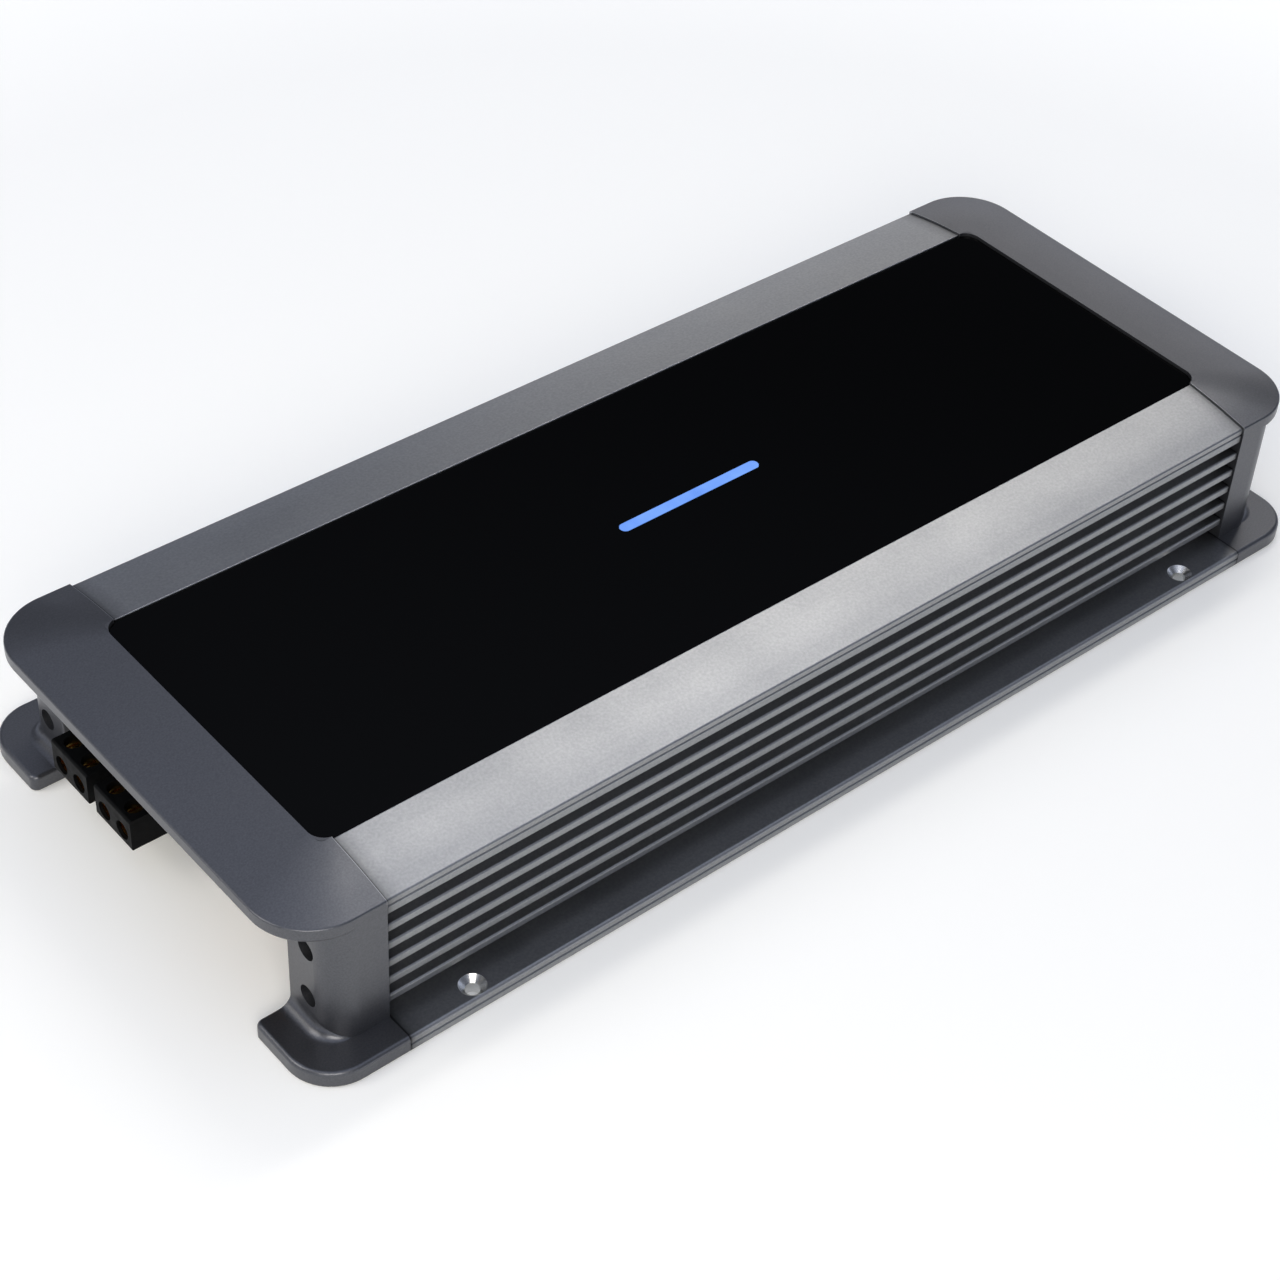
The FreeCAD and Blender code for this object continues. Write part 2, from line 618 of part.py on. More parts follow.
def cove():
    """Fillet along a pillar's end face that dies away round its outer corner."""
    bend_x = PILLAR_END - PILLAR_RADIUS
    bend_y = SIDE - PILLAR_RADIUS
    inner = vec(PILLAR_END, PILLAR_INNER + EDGE_RADIUS, FLANGE_THICKNESS)
    sections = []
    for step in range(COVE_STEPS + 1):
        share = step / COVE_STEPS
        turn = math.pi / 2 * (1 - COVE_FADE * share)
        way = vec(math.sin(turn), math.cos(turn), 0)
        size = COVE_RADIUS * (1 - (1 - COVE_TAIL) * share ** 2)
        spot = on_corner(bend_x, bend_y, PILLAR_RADIUS, turn) + UP * FLANGE_THICKNESS
        sections.append(cove_section(spot, way, size))
    straight = Part.makeLoft([cove_section(inner, ALONG, COVE_RADIUS), sections[0]], True, True)
    return join([straight, Part.makeLoft(sections, True, False)])


def end_cap():
    solid = join([roof()] + both_sides(pillar()) + both_sides(foot()) + both_sides(cove()))
    tools = [slab(rounded_rectangle(0, 0, 2 * POCKET_END, 2 * POCKET_SIDE, GLASS_CORNER),
                  POCKET_FLOOR, HEIGHT)]
    for y, z in cap_screw_places():
        start = vec(COUNTERBORE_FLOOR, y, z)
        tools.append(Part.makeCylinder(COUNTERBORE_RADIUS, CAP_REACH, start, ALONG))
        tools.append(Part.makeCylinder(CLEARANCE_HOLE_RADIUS, CAP_REACH, vec(SEAM_X, y, z), ALONG))
    return cut_all(solid, tools)


def cap_screws():
    screws = []
    for y, z in cap_screw_places():
        screw = cap_head_screw(CAP_SCREW_RADIUS, CAP_SCREW_LENGTH, CAP_SCREW_HEAD_RADIUS,
                               CAP_SCREW_HEAD, CAP_SCREW_KEY, vec(COUNTERBORE_FLOOR, y, z), -ALONG)
        screws += [screw, mirror_x(screw)]
    return screws


# ---- glass and light bar -------------------------------------------------------------
def glass_top_panel():
    plan = rounded_rectangle(0, 0, GLASS_LENGTH, GLASS_WIDTH, GLASS_CORNER)
    solid = slab(plan, GLASS_UNDER, GLASS_TOP)
    return solid.cut(light_slot(SLIDE_FIT, GLASS_UNDER, GLASS_TOP))


def light_bar_lens():
    foot_part = light_slot(LENS_MARGIN, CAVITY_TOP, POCKET_FLOOR)
    return join([foot_part, light_slot(0, POCKET_FLOOR, GLASS_TOP)])


def light_bar_board():
    margin = 2 * (LENS_MARGIN + LIGHT_BOARD_MARGIN)
    plan = rounded_rectangle(LIGHT_X, LIGHT_Y, LIGHT_LENGTH + margin, LIGHT_WIDTH + margin, 1.0)
    return slab(plan, LIGHT_BOARD_LOW, CAVITY_TOP)


# ---- bottom plate --------------------------------------------------------------------
def bottom_plate():
    plan = rounded_rectangle(0, 0, BODY_LENGTH, 2 * PLATE_SIDE, 1.0)
    solid = slab(plan, PLATE_SINK, PLATE_TOP)
    tools = []
    for x, y in plate_screw_places():
        tools.append(Part.makeCylinder(PLATE_SCREW_RADIUS + SLIDE_FIT, PLATE_THICKNESS,
                                       vec(x, y, PLATE_SINK)))
    for x in spread(VENT_COUNT, VENT_PITCH):
        plan = rounded_rectangle(TOROID_X + x, 0, VENT_WIDTH, VENT_LENGTH, VENT_WIDTH / 2)
        tools.append(slab(plan, PLATE_SINK, PLATE_TOP))
    return cut_all(solid, tools)


def bottom_plate_screws():
    return [cap_head_screw(PLATE_SCREW_RADIUS, PLATE_SCREW_LENGTH, PLATE_SCREW_HEAD_RADIUS,
                           PLATE_SCREW_HEAD, PLATE_SCREW_RADIUS / 2, vec(x, y, PLATE_SINK), UP)
            for x, y in plate_screw_places()]


# ---- end panels ----------------------------------------------------------------------
def panel_blank():
    plan = [(-PANEL_SIDE, PLATE_TOP, 0), (PANEL_SIDE, PLATE_TOP, 0),
            (PANEL_SIDE, CAVITY_TOP - PANEL_GAP, CAVITY_RADIUS),
            (-PANEL_SIDE, CAVITY_TOP - PANEL_GAP, CAVITY_RADIUS)]
    return prism(plan, lambda y, z: vec(PANEL_INNER, y, z), ALONG * PANEL_THICKNESS)


def panel_window(y, width, low, high):
    return block(PANEL_INNER, SEAM_X, y - width / 2 - SLIDE_FIT, y + width / 2 + SLIDE_FIT,
                 low - SLIDE_FIT, high + SLIDE_FIT)


def terminal_panel():
    tools = [panel_window(y, BLOCK_WIDTH, BOARD_TOP, BOARD_TOP + BLOCK_HEIGHT)
             for y in (POWER_BLOCK_Y, SPEAKER_BLOCK_Y)]
    tools.append(panel_window(FUSE_HOLDER_Y, FUSE_HOLDER_WIDTH, BOARD_TOP,
                              BOARD_TOP + FUSE_HOLDER_HEIGHT))
    return mirror_x(cut_all(panel_blank(), tools))


def rca_places():
    return [(RCA_Y + y, BOARD_TOP + RCA_BLOCK_HEIGHT / 2 + z)
            for y in spread(2, RCA_PITCH) for z in spread(2, RCA_PITCH)]


def knob_places():
    return [KNOB_Y + KNOB_PITCH * index for index in range(KNOB_COUNT)]


def signal_panel():
    tools = [Part.makeCylinder(RCA_SLEEVE_RADIUS + RCA_COLLAR + SLIDE_FIT, PANEL_THICKNESS,
                               vec(PANEL_INNER, y, z), ALONG) for y, z in rca_places()]
    tools += [Part.makeCylinder(SHAFT_RADIUS + SLIDE_FIT, PANEL_THICKNESS,
                                vec(PANEL_INNER, y, KNOB_LEVEL), ALONG) for y in knob_places()]
    tools.append(Part.makeCylinder(LED_RADIUS + SLIDE_FIT, PANEL_THICKNESS,
                                   vec(PANEL_INNER, LED_Y, LED_LEVEL), ALONG))
    tools.append(panel_window(SWITCH_Y, LEVER_SIZE + 2 * LEVER_TRAVEL,
                              LEVER_LEVEL - LEVER_SIZE / 2, LEVER_LEVEL + LEVER_SIZE / 2))
    tools.append(panel_window(PLUG_Y, PLUG_WIDTH, BOARD_TOP, BOARD_TOP + PLUG_HEIGHT))
    return cut_all(panel_blank(), tools)


# ---- wire terminals ------------------------------------------------------------------
def pole_places(block_y):
    return [block_y + offset for offset in spread(2, POLE_PITCH)]


def terminal_block(block_y):
    """Moulded two-pole housing with wire mouths in front and screw wells on top."""
    back = PANEL_INNER - BLOCK_TAIL
    top = BOARD_TOP + BLOCK_HEIGHT
    profile = [(back, BOARD_TOP, 0), (BLOCK_FACE, BOARD_TOP, BLOCK_CHAMFER / 2),
               (BLOCK_FACE, top, BLOCK_CHAMFER), (back, top, BLOCK_CHAMFER)]
    solid = prism(profile, lambda x, z: vec(x, block_y - BLOCK_WIDTH / 2, z), ACROSS * BLOCK_WIDTH)
    tools = []
    for y in pole_places(block_y):
        tools.append(clamp_blank(y, SLIDE_FIT / 2))
        tools.append(Part.makeCylinder(WIRE_MOUTH_RADIUS, CLAMP_FRONT + SLIDE_FIT,
                                       vec(BLOCK_FACE, y, WIRE_LEVEL), -ALONG))
        tools.append(Part.makeCylinder(SCREW_WELL_RADIUS, top - CLAMP_ROOF, vec(POLE_X, y, CLAMP_ROOF)))
    return mirror_x(cut_all(solid, tools))


def clamp_blank(y, extra):
    front = BLOCK_FACE - CLAMP_FRONT + extra
    low = WIRE_LEVEL - WIRE_BORE_RADIUS - CLAMP_BASE - extra
    return block(front - CLAMP_LENGTH - 2 * extra, front, y - CLAMP_WIDTH / 2 - extra,
                 y + CLAMP_WIDTH / 2 + extra, low, CLAMP_ROOF + extra)


def terminal_clamps():
    """Brass bodies, one to a pole, bored for the wire and tapped for the set screw."""
    clamps = []
    for block_y in (POWER_BLOCK_Y, SPEAKER_BLOCK_Y):
        for y in pole_places(block_y):
            front = BLOCK_FACE - CLAMP_FRONT
            bore = Part.makeCylinder(WIRE_BORE_RADIUS, CLAMP_LENGTH, vec(front, y, WIRE_LEVEL), -ALONG)
            tapped = Part.makeCylinder(SET_SCREW_RADIUS + THREAD_FIT,
                                       CLAMP_ROOF - WIRE_LEVEL, vec(POLE_X, y, WIRE_LEVEL))
            clamps.append(mirror_x(clamp_blank(y, 0).cut(bore).cut(tapped)))
    return clamps


def set_screw(y):
    """Slotted screw backed off until its foot clears the wire bore."""
    low = WIRE_LEVEL + WIRE_BORE_RADIUS
    top = low + SET_SCREW_LENGTH
    screw = Part.makeCylinder(SET_SCREW_RADIUS, SET_SCREW_LENGTH, vec(POLE_X, y, low))
    slot = block(POLE_X - SET_SCREW_RADIUS, POLE_X + SET_SCREW_RADIUS, y - SET_SCREW_SLOT / 2,
                 y + SET_SCREW_SLOT / 2, top - SET_SCREW_SLOT, top)
    return mirror_x(screw.cut(slot))


# ---- fuses ---------------------------------------------------------------------------
def fuse_places():
    return [FUSE_HOLDER_Y + offset for offset in spread(2, FUSE_PITCH)]


def blade_pair(y, extra, depth):
    return [block(FUSE_FLOOR - depth, FUSE_FLOOR, y + offset - BLADE_WIDTH / 2 - extra,
                  y + offset + BLADE_WIDTH / 2 + extra, FUSE_LEVEL - BLADE_THICKNESS / 2 - extra,
                  FUSE_LEVEL + BLADE_THICKNESS / 2 + extra)
            for offset in spread(2, BLADE_SPACING)]


def fuse_holder():
    solid = block(PANEL_INNER - FUSE_HOLDER_TAIL, FUSE_FACE, FUSE_HOLDER_Y - FUSE_HOLDER_WIDTH / 2,
                  FUSE_HOLDER_Y + FUSE_HOLDER_WIDTH / 2, BOARD_TOP, BOARD_TOP + FUSE_HOLDER_HEIGHT)
    tools = []
    for y in fuse_places():
        tools.append(block(FUSE_FLOOR, FUSE_FACE, y - FUSE_WIDTH / 2 - SLIDE_FIT,
                           y + FUSE_WIDTH / 2 + SLIDE_FIT, FUSE_LEVEL - FUSE_THICKNESS / 2 - SLIDE_FIT,
                           FUSE_LEVEL + FUSE_THICKNESS / 2 + SLIDE_FIT))
        tools += blade_pair(y, SLIDE_FIT, BLADE_LENGTH + SLIDE_FIT)
    return mirror_x(cut_all(solid, tools))


def blade_fuse(y):
    """Moulded head with a raised grip rim over two flat blades."""
    plan = [(y - FUSE_WIDTH / 2, FUSE_FLOOR, 0), (y + FUSE_WIDTH / 2, FUSE_FLOOR, 0),
            (y + FUSE_WIDTH / 2, FUSE_FLOOR + FUSE_HEAD, 2), (y - FUSE_WIDTH / 2, FUSE_FLOOR + FUSE_HEAD, 2)]
    head = prism(plan, lambda v, x: vec(x, v, FUSE_LEVEL - FUSE_THICKNESS / 2), UP * FUSE_THICKNESS)
    return mirror_x(join([head] + blade_pair(y, 0, BLADE_LENGTH)))


# ---- signal side ---------------------------------------------------------------------
def rca_block():
    low = BOARD_TOP
    solid = block(PANEL_INNER - RCA_BLOCK_DEPTH, PANEL_INNER, RCA_Y - RCA_BLOCK_WIDTH / 2,
                  RCA_Y + RCA_BLOCK_WIDTH / 2, low, low + RCA_BLOCK_HEIGHT)
    cores = [Part.makeCylinder(RCA_CORE_RADIUS, RCA_END - PANEL_INNER - RCA_CORE_SETBACK,
                               vec(PANEL_INNER, y, z), ALONG) for y, z in rca_places()]
    holes = [Part.makeCylinder(RCA_PIN_RADIUS, RCA_END - PANEL_INNER,
                               vec(PANEL_INNER, y, z), ALONG) for y, z in rca_places()]
    return cut_all(join([solid] + cores), holes)


def rca_sleeves():
    """Plated shells, each with a collar that centres it in the panel."""
    sleeves = []
    for y, z in rca_places():
        start = vec(PANEL_INNER, y, z)
        length = RCA_END - PANEL_INNER
        shell = Part.makeCylinder(RCA_SLEEVE_RADIUS, length, start, ALONG)
        collar = Part.makeCylinder(RCA_SLEEVE_RADIUS + RCA_COLLAR,
                                   PANEL_THICKNESS + RCA_COLLAR_REACH, start, ALONG)
        bore = Part.makeCylinder(RCA_SLEEVE_RADIUS - RCA_SLEEVE_WALL, length, start, ALONG)
        sleeves.append(join([shell, collar]).cut(bore))
    return sleeves


def pots():
    bodies = []
    for y in knob_places():
        body = block(PANEL_INNER - SLIDE_FIT - POT_DEPTH, PANEL_INNER - SLIDE_FIT, y - POT_SIZE / 2,
                     y + POT_SIZE / 2, BOARD_TOP, KNOB_LEVEL + POT_SIZE / 2)
        hole = Part.makeCylinder(SHAFT_RADIUS + SHAFT_FIT, POT_DEPTH / 2,
                                 vec(PANEL_INNER - SLIDE_FIT, y, KNOB_LEVEL), -ALONG)
        bodies.append(body.cut(hole))
    return bodies


def knob(y):
    """Round knob with a screwdriver slot, on a shaft that turns in its potentiometer."""
    shaft_start = PANEL_INNER - SLIDE_FIT - POT_DEPTH / 2 + SHAFT_FIT
    shaft = Part.makeCylinder(SHAFT_RADIUS, KNOB_BACK - shaft_start,
                              vec(shaft_start, y, KNOB_LEVEL), ALONG)
    head = Part.makeCylinder(KNOB_RADIUS, KNOB_LENGTH, vec(KNOB_BACK, y, KNOB_LEVEL), ALONG)
    front = [edge for edge in head.Edges if edge.BoundBox.XMin > KNOB_BACK + KNOB_LENGTH / 2]
    head = head.makeChamfer(KNOB_SLOT / 2, front[:1])
    end = KNOB_BACK + KNOB_LENGTH
    slot = block(end - KNOB_SLOT, end, y - KNOB_SLOT / 2, y + KNOB_SLOT / 2,
                 KNOB_LEVEL, KNOB_LEVEL + KNOB_RADIUS)
    return join([shaft, head]).cut(slot)


def phase_switch_body():
    front = PANEL_INNER - SLIDE_FIT
    solid = block(front - SWITCH_DEPTH, front, SWITCH_Y - SWITCH_WIDTH / 2, SWITCH_Y + SWITCH_WIDTH / 2,
                  BOARD_TOP, BOARD_TOP + SWITCH_HEIGHT)
    half = LEVER_SIZE / 2
    track = block(front - SWITCH_DEPTH / 2, front, SWITCH_Y - half - LEVER_TRAVEL - SLIDE_FIT,
                  SWITCH_Y + half + LEVER_TRAVEL + SLIDE_FIT, LEVER_LEVEL - half - SLIDE_FIT,
                  LEVER_LEVEL + half + SLIDE_FIT)
    return solid.cut(track)


def phase_switch_lever():
    front = PANEL_INNER - SLIDE_FIT
    half = LEVER_SIZE / 2
    profile = [(front - SWITCH_DEPTH / 2 + SLIDE_FIT, -half, 0), (SEAM_X + LEVER_REACH, -half, 0.5),
               (SEAM_X + LEVER_REACH, half, 0.5), (front - SWITCH_DEPTH / 2 + SLIDE_FIT, half, 0)]
    return prism(profile, lambda x, y: vec(x, SWITCH_Y + y, LEVER_LEVEL - half), UP * LEVER_SIZE)


def remote_socket():
    end = SEAM_X + PLUG_DEPTH / 2
    solid = block(end - PLUG_DEPTH, end, PLUG_Y - PLUG_WIDTH / 2, PLUG_Y + PLUG_WIDTH / 2,
                  BOARD_TOP, BOARD_TOP + PLUG_HEIGHT)
    hollow = block(end - PLUG_DEPTH + PLUG_WALL, end, PLUG_Y - PLUG_WIDTH / 2 + PLUG_WALL,
                   PLUG_Y + PLUG_WIDTH / 2 - PLUG_WALL, BOARD_TOP + PLUG_WALL,
                   BOARD_TOP + PLUG_HEIGHT - PLUG_WALL)
    return solid.cut(hollow)


def remote_pins():
    end = SEAM_X + PLUG_DEPTH / 2
    level = BOARD_TOP + PLUG_HEIGHT / 2
    return [Part.makeCylinder(PLUG_PIN_RADIUS, PLUG_PIN_LENGTH,
                              vec(end - PLUG_DEPTH + PLUG_WALL, PLUG_Y + y, level), ALONG)
            for y in spread(PLUG_PIN_COUNT, PLUG_PIN_PITCH)]


def status_led():
    """Light pipe that rises from the board and turns out through the panel."""
    stem = block(PANEL_INNER - SLIDE_FIT - 2 * LED_RADIUS, PANEL_INNER - SLIDE_FIT, LED_Y - LED_RADIUS,
                 LED_Y + LED_RADIUS, BOARD_TOP + SWITCH_HEIGHT, LED_LEVEL + LED_RADIUS)
    pipe = Part.makeCylinder(LED_RADIUS, PANEL_THICKNESS + 2 * SLIDE_FIT,
                             vec(PANEL_INNER - SLIDE_FIT, LED_Y, LED_LEVEL), ALONG)
    return join([stem, pipe])


# ---- main board ----------------------------------------------------------------------
def standoff_places():
    x = BOARD_END - STANDOFF_INSET_X
    y = BOARD_SIDE - STANDOFF_INSET_Y
    return [(a, b) for a in (-x, 0, x) for b in (-y, y)]


def main_board():
    solid = block(-BOARD_END, BOARD_END, -BOARD_SIDE, BOARD_SIDE, BOARD_UNDER, BOARD_TOP)
    tools = [Part.makeCylinder(BOARD_SCREW_RADIUS + SLIDE_FIT, BOARD_THICKNESS, vec(x, y, BOARD_UNDER))
             for x, y in standoff_places()]
    return cut_all(solid, tools)


def board_standoffs():
    pillars = []
    for x, y in standoff_places():
        pillar_body = hexagon(STANDOFF_KEY / 2, BOARD_UNDER - PLATE_TOP, vec(x, y, PLATE_TOP), UP)
        tapped = Part.makeCylinder(BOARD_SCREW_RADIUS + THREAD_FIT, BOARD_SCREW_LENGTH,
                                   vec(x, y, BOARD_TOP - BOARD_SCREW_LENGTH))
        pillars.append(pillar_body.cut(tapped))
    return pillars


def board_screws():
    return [cap_head_screw(BOARD_SCREW_RADIUS, BOARD_SCREW_LENGTH, BOARD_SCREW_HEAD_RADIUS,
                           BOARD_SCREW_HEAD, BOARD_SCREW_RADIUS / 2, vec(x, y, BOARD_TOP), -UP)
            for x, y in standoff_places()]


# ---- power stage ---------------------------------------------------------------------
def thermal_pad():
    length = TRANSISTOR_PITCH * (TRANSISTOR_COUNT - 1) + TRANSISTOR_WIDTH + 2 * PAD_MARGIN
    solid = block(-length / 2, length / 2, PAD_FACE, WALL_INNER, TRANSISTOR_LOW - PAD_MARGIN,
                  TRANSISTOR_LOW + TRANSISTOR_HEIGHT + PAD_MARGIN)
    tools = [Part.makeCylinder(BAR_SCREW_RADIUS + SLIDE_FIT, PAD_THICKNESS,
                               vec(x, PAD_FACE, BAR_LEVEL), ACROSS) for x in bar_screw_places()]
    return cut_all(solid, tools)


def transistor(x):
    body = block(x - TRANSISTOR_WIDTH / 2, x + TRANSISTOR_WIDTH / 2, TRANSISTOR_FACE, PAD_FACE,
                 TRANSISTOR_LOW, TRANSISTOR_LOW + TRANSISTOR_HEIGHT)
    middle = (TRANSISTOR_FACE + PAD_FACE) / 2
    legs = [block(x + offset - LEG_WIDTH / 2, x + offset + LEG_WIDTH / 2, middle - LEG_THICKNESS / 2,
                  middle + LEG_THICKNESS / 2, BOARD_TOP, TRANSISTOR_LOW)
            for offset in spread(3, LEG_PITCH)]
    return join([body] + legs)


def transistor_row():
    return [transistor(x) for x in spread(TRANSISTOR_COUNT, TRANSISTOR_PITCH)]


def clamp_bar():
    length = TRANSISTOR_PITCH * (TRANSISTOR_COUNT - 1) + TRANSISTOR_WIDTH
    plan = rounded_rectangle(0, BAR_LEVEL, length, BAR_HEIGHT, 1.0)
    solid = prism(plan, lambda x, z: vec(x, BAR_FACE, z), ACROSS * BAR_THICKNESS)
    tools = [Part.makeCylinder(BAR_SCREW_RADIUS + SLIDE_FIT, BAR_THICKNESS,
                               vec(x, BAR_FACE, BAR_LEVEL), ACROSS) for x in bar_screw_places()]
    return cut_all(solid, tools)


def clamp_screws():
    length = WALL_INNER + BAR_SCREW_BITE - BAR_FACE
    screws = []
    for x in bar_screw_places():
        screw = cap_head_screw(BAR_SCREW_RADIUS, length, BAR_SCREW_HEAD_RADIUS, BAR_SCREW_HEAD,
                               BAR_SCREW_RADIUS / 2, vec(x, BAR_FACE, BAR_LEVEL), ACROSS)
        screws += both_sides(screw)
    return screws


def wound_ring(x, y, low, radius, hole, height, rounding):
    section = [(hole, low, rounding), (radius, low, rounding),
               (radius, low + height, rounding), (hole, low + height, rounding)]
    face = Part.Face(outline(section, lambda r, z: vec(r, 0, z)))
    ring = face.revolve(ORIGIN, UP, 360)
    ring.translate(vec(x, y, 0))
    return ring


def transformer_base():
    return Part.makeCylinder(TOROID_RADIUS, TOROID_BASE, vec(TOROID_X, 0, BOARD_TOP))


def transformer_winding():
    return wound_ring(TOROID_X, 0, BOARD_TOP + TOROID_BASE, TOROID_RADIUS, TOROID_HOLE,
                      TOROID_HEIGHT, TOROID_ROUND)


def output_choke():
    return wound_ring(CHOKE_X, 0, BOARD_TOP, CHOKE_RADIUS, CHOKE_HOLE, CHOKE_HEIGHT, CHOKE_ROUND)


def supply_capacitors():
    cans = []
    for y in spread(CAPACITOR_COUNT, CAPACITOR_PITCH):
        can = Part.makeCylinder(CAPACITOR_RADIUS, CAPACITOR_HEIGHT, vec(CAPACITOR_X, y, BOARD_TOP))
        rims = [edge for edge in can.Edges if edge.BoundBox.ZLength < 1]
        cans.append(can.makeChamfer(CAPACITOR_CRIMP, rims))
    return cans


def film_capacitors():
    return [block(FILM_X - FILM_LENGTH / 2, FILM_X + FILM_LENGTH / 2, y - FILM_WIDTH / 2,
                  y + FILM_WIDTH / 2, BOARD_TOP, BOARD_TOP + FILM_HEIGHT)
            for y in spread(FILM_COUNT, FILM_PITCH)]


def driver_header():
    return block(DRIVER_X - HEADER_WIDTH / 2, DRIVER_X + HEADER_WIDTH / 2, -DRIVER_LENGTH / 2,
                 DRIVER_LENGTH / 2, BOARD_TOP, BOARD_TOP + HEADER_HEIGHT)


def driver_board():
    low = BOARD_TOP + HEADER_HEIGHT
    return block(DRIVER_X - DRIVER_THICKNESS / 2, DRIVER_X + DRIVER_THICKNESS / 2, -DRIVER_LENGTH / 2,
                 DRIVER_LENGTH / 2, low, low + DRIVER_HEIGHT)


def group(solids):
    return Part.makeCompound(solids)


def nodes():
    power = pole_places(POWER_BLOCK_Y)
    speaker = pole_places(SPEAKER_BLOCK_Y)
    fuses = fuse_places()
    knobs = knob_places()
    cap = end_cap()
    row = transistor_row()
    return {
        "heatsink_extrusion": heatsink_extrusion(),
        "end_cap_left": mirror_x(cap),
        "end_cap_right": cap,
        "cap_screws": group(cap_screws()),
        "glass_top_panel": glass_top_panel(),
        "light_bar_lens": light_bar_lens(),
        "light_bar_board": light_bar_board(),
        "bottom_plate": bottom_plate(),
        "bottom_plate_screws": group(bottom_plate_screws()),
        "terminal_panel": terminal_panel(),
        "signal_panel": signal_panel(),
        "terminal_block_power": terminal_block(POWER_BLOCK_Y),
        "terminal_block_speaker": terminal_block(SPEAKER_BLOCK_Y),
        "terminal_clamps": group(terminal_clamps()),
        "set_screw_power_plus": set_screw(power[1]),
        "set_screw_power_ground": set_screw(power[0]),
        "set_screw_speaker_plus": set_screw(speaker[1]),
        "set_screw_speaker_minus": set_screw(speaker[0]),
        "fuse_holder": fuse_holder(),
        "fuse_front": blade_fuse(fuses[0]),
        "fuse_back": blade_fuse(fuses[1]),
        "rca_block": rca_block(),
        "rca_sleeves": group(rca_sleeves()),
        "level_pots": group(pots()),
        "knob_level": knob(knobs[0]),
        "knob_filter": knob(knobs[1]),
        "knob_bass": knob(knobs[2]),
        "phase_switch_body": phase_switch_body(),
        "phase_switch_lever": phase_switch_lever(),
        "remote_socket": remote_socket(),
        "remote_pins": group(remote_pins()),
        "status_led": status_led(),
        "main_board": main_board(),
        "board_standoffs": group(board_standoffs()),
        "board_screws": group(board_screws()),
        "thermal_pad_front": mirror_y(thermal_pad()),
        "thermal_pad_back": thermal_pad(),
        "transistors_front": mirror_y(group(row)),
        "transistors_back": group(row),
        "clamp_bar_front": mirror_y(clamp_bar()),
        "clamp_bar_back": clamp_bar(),
        "clamp_screws": group(clamp_screws()),
        "transformer_base": transformer_base(),
        "transformer_winding": transformer_winding(),
        "output_choke": output_choke(),
        "supply_capacitors": group(supply_capacitors()),
        "film_capacitors": group(film_capacitors()),
        "driver_header": driver_header(),
        "driver_board": driver_board(),
    }


os.makedirs("parts", exist_ok=True)
for name, shape in nodes().items():
    shape.exportStep("parts/" + name + ".step")
    box = shape.BoundBox
    print("%-26s %2d solid %9.1f mm3  valid %s  x %.1f %.1f  y %.1f %.1f  z %.1f %.1f" % (
        name, len(shape.Solids), shape.Volume, shape.isValid(),
        box.XMin, box.XMax, box.YMin, box.YMax, box.ZMin, box.ZMax))
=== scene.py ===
import json
import math

import bpy
from mathutils import Matrix, Vector


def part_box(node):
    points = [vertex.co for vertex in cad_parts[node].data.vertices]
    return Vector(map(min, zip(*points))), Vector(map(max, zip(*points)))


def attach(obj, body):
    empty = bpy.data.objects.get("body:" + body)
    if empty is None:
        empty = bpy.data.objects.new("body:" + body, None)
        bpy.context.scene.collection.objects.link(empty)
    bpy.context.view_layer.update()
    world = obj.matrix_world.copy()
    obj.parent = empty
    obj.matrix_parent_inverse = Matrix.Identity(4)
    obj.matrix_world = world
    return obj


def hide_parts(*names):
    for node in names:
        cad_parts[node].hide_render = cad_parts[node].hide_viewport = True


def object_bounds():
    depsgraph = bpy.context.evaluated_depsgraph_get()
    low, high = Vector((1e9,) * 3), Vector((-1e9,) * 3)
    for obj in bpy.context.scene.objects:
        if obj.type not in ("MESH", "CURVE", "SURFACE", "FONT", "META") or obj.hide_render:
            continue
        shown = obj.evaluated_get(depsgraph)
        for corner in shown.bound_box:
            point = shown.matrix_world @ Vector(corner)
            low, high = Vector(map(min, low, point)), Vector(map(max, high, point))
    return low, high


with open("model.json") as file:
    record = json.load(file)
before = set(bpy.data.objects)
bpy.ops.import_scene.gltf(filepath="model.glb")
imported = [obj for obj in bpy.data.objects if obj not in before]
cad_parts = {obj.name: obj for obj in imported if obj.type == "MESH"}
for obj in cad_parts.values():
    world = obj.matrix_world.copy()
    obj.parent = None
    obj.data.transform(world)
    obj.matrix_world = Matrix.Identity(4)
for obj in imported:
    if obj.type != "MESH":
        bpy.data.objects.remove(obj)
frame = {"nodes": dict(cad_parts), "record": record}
cad_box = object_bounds()
MM = 0.001


# ---- materials -----------------------------------------------------------------------
def srgb(code):
    """Linear colour of an sRGB hex code."""
    parts = [int(code[i:i + 2], 16) / 255 for i in (1, 3, 5)]
    return tuple(c / 12.92 if c <= 0.04045 else ((c + 0.055) / 1.055) ** 2.4 for c in parts) + (1.0,)


def add(tree, kind, settings=None, links=None):
    """Adds a node, sets its properties or sockets by name and links sockets to outputs."""
    node = tree.nodes.new(kind)
    for key, value in (settings or {}).items():
        if isinstance(key, str) and hasattr(node, key) and key not in node.inputs:
            setattr(node, key, value)
        else:
            node.inputs[key].default_value = value
    for key, source in (links or {}).items():
        tree.links.new(source, node.inputs[key])
    return node


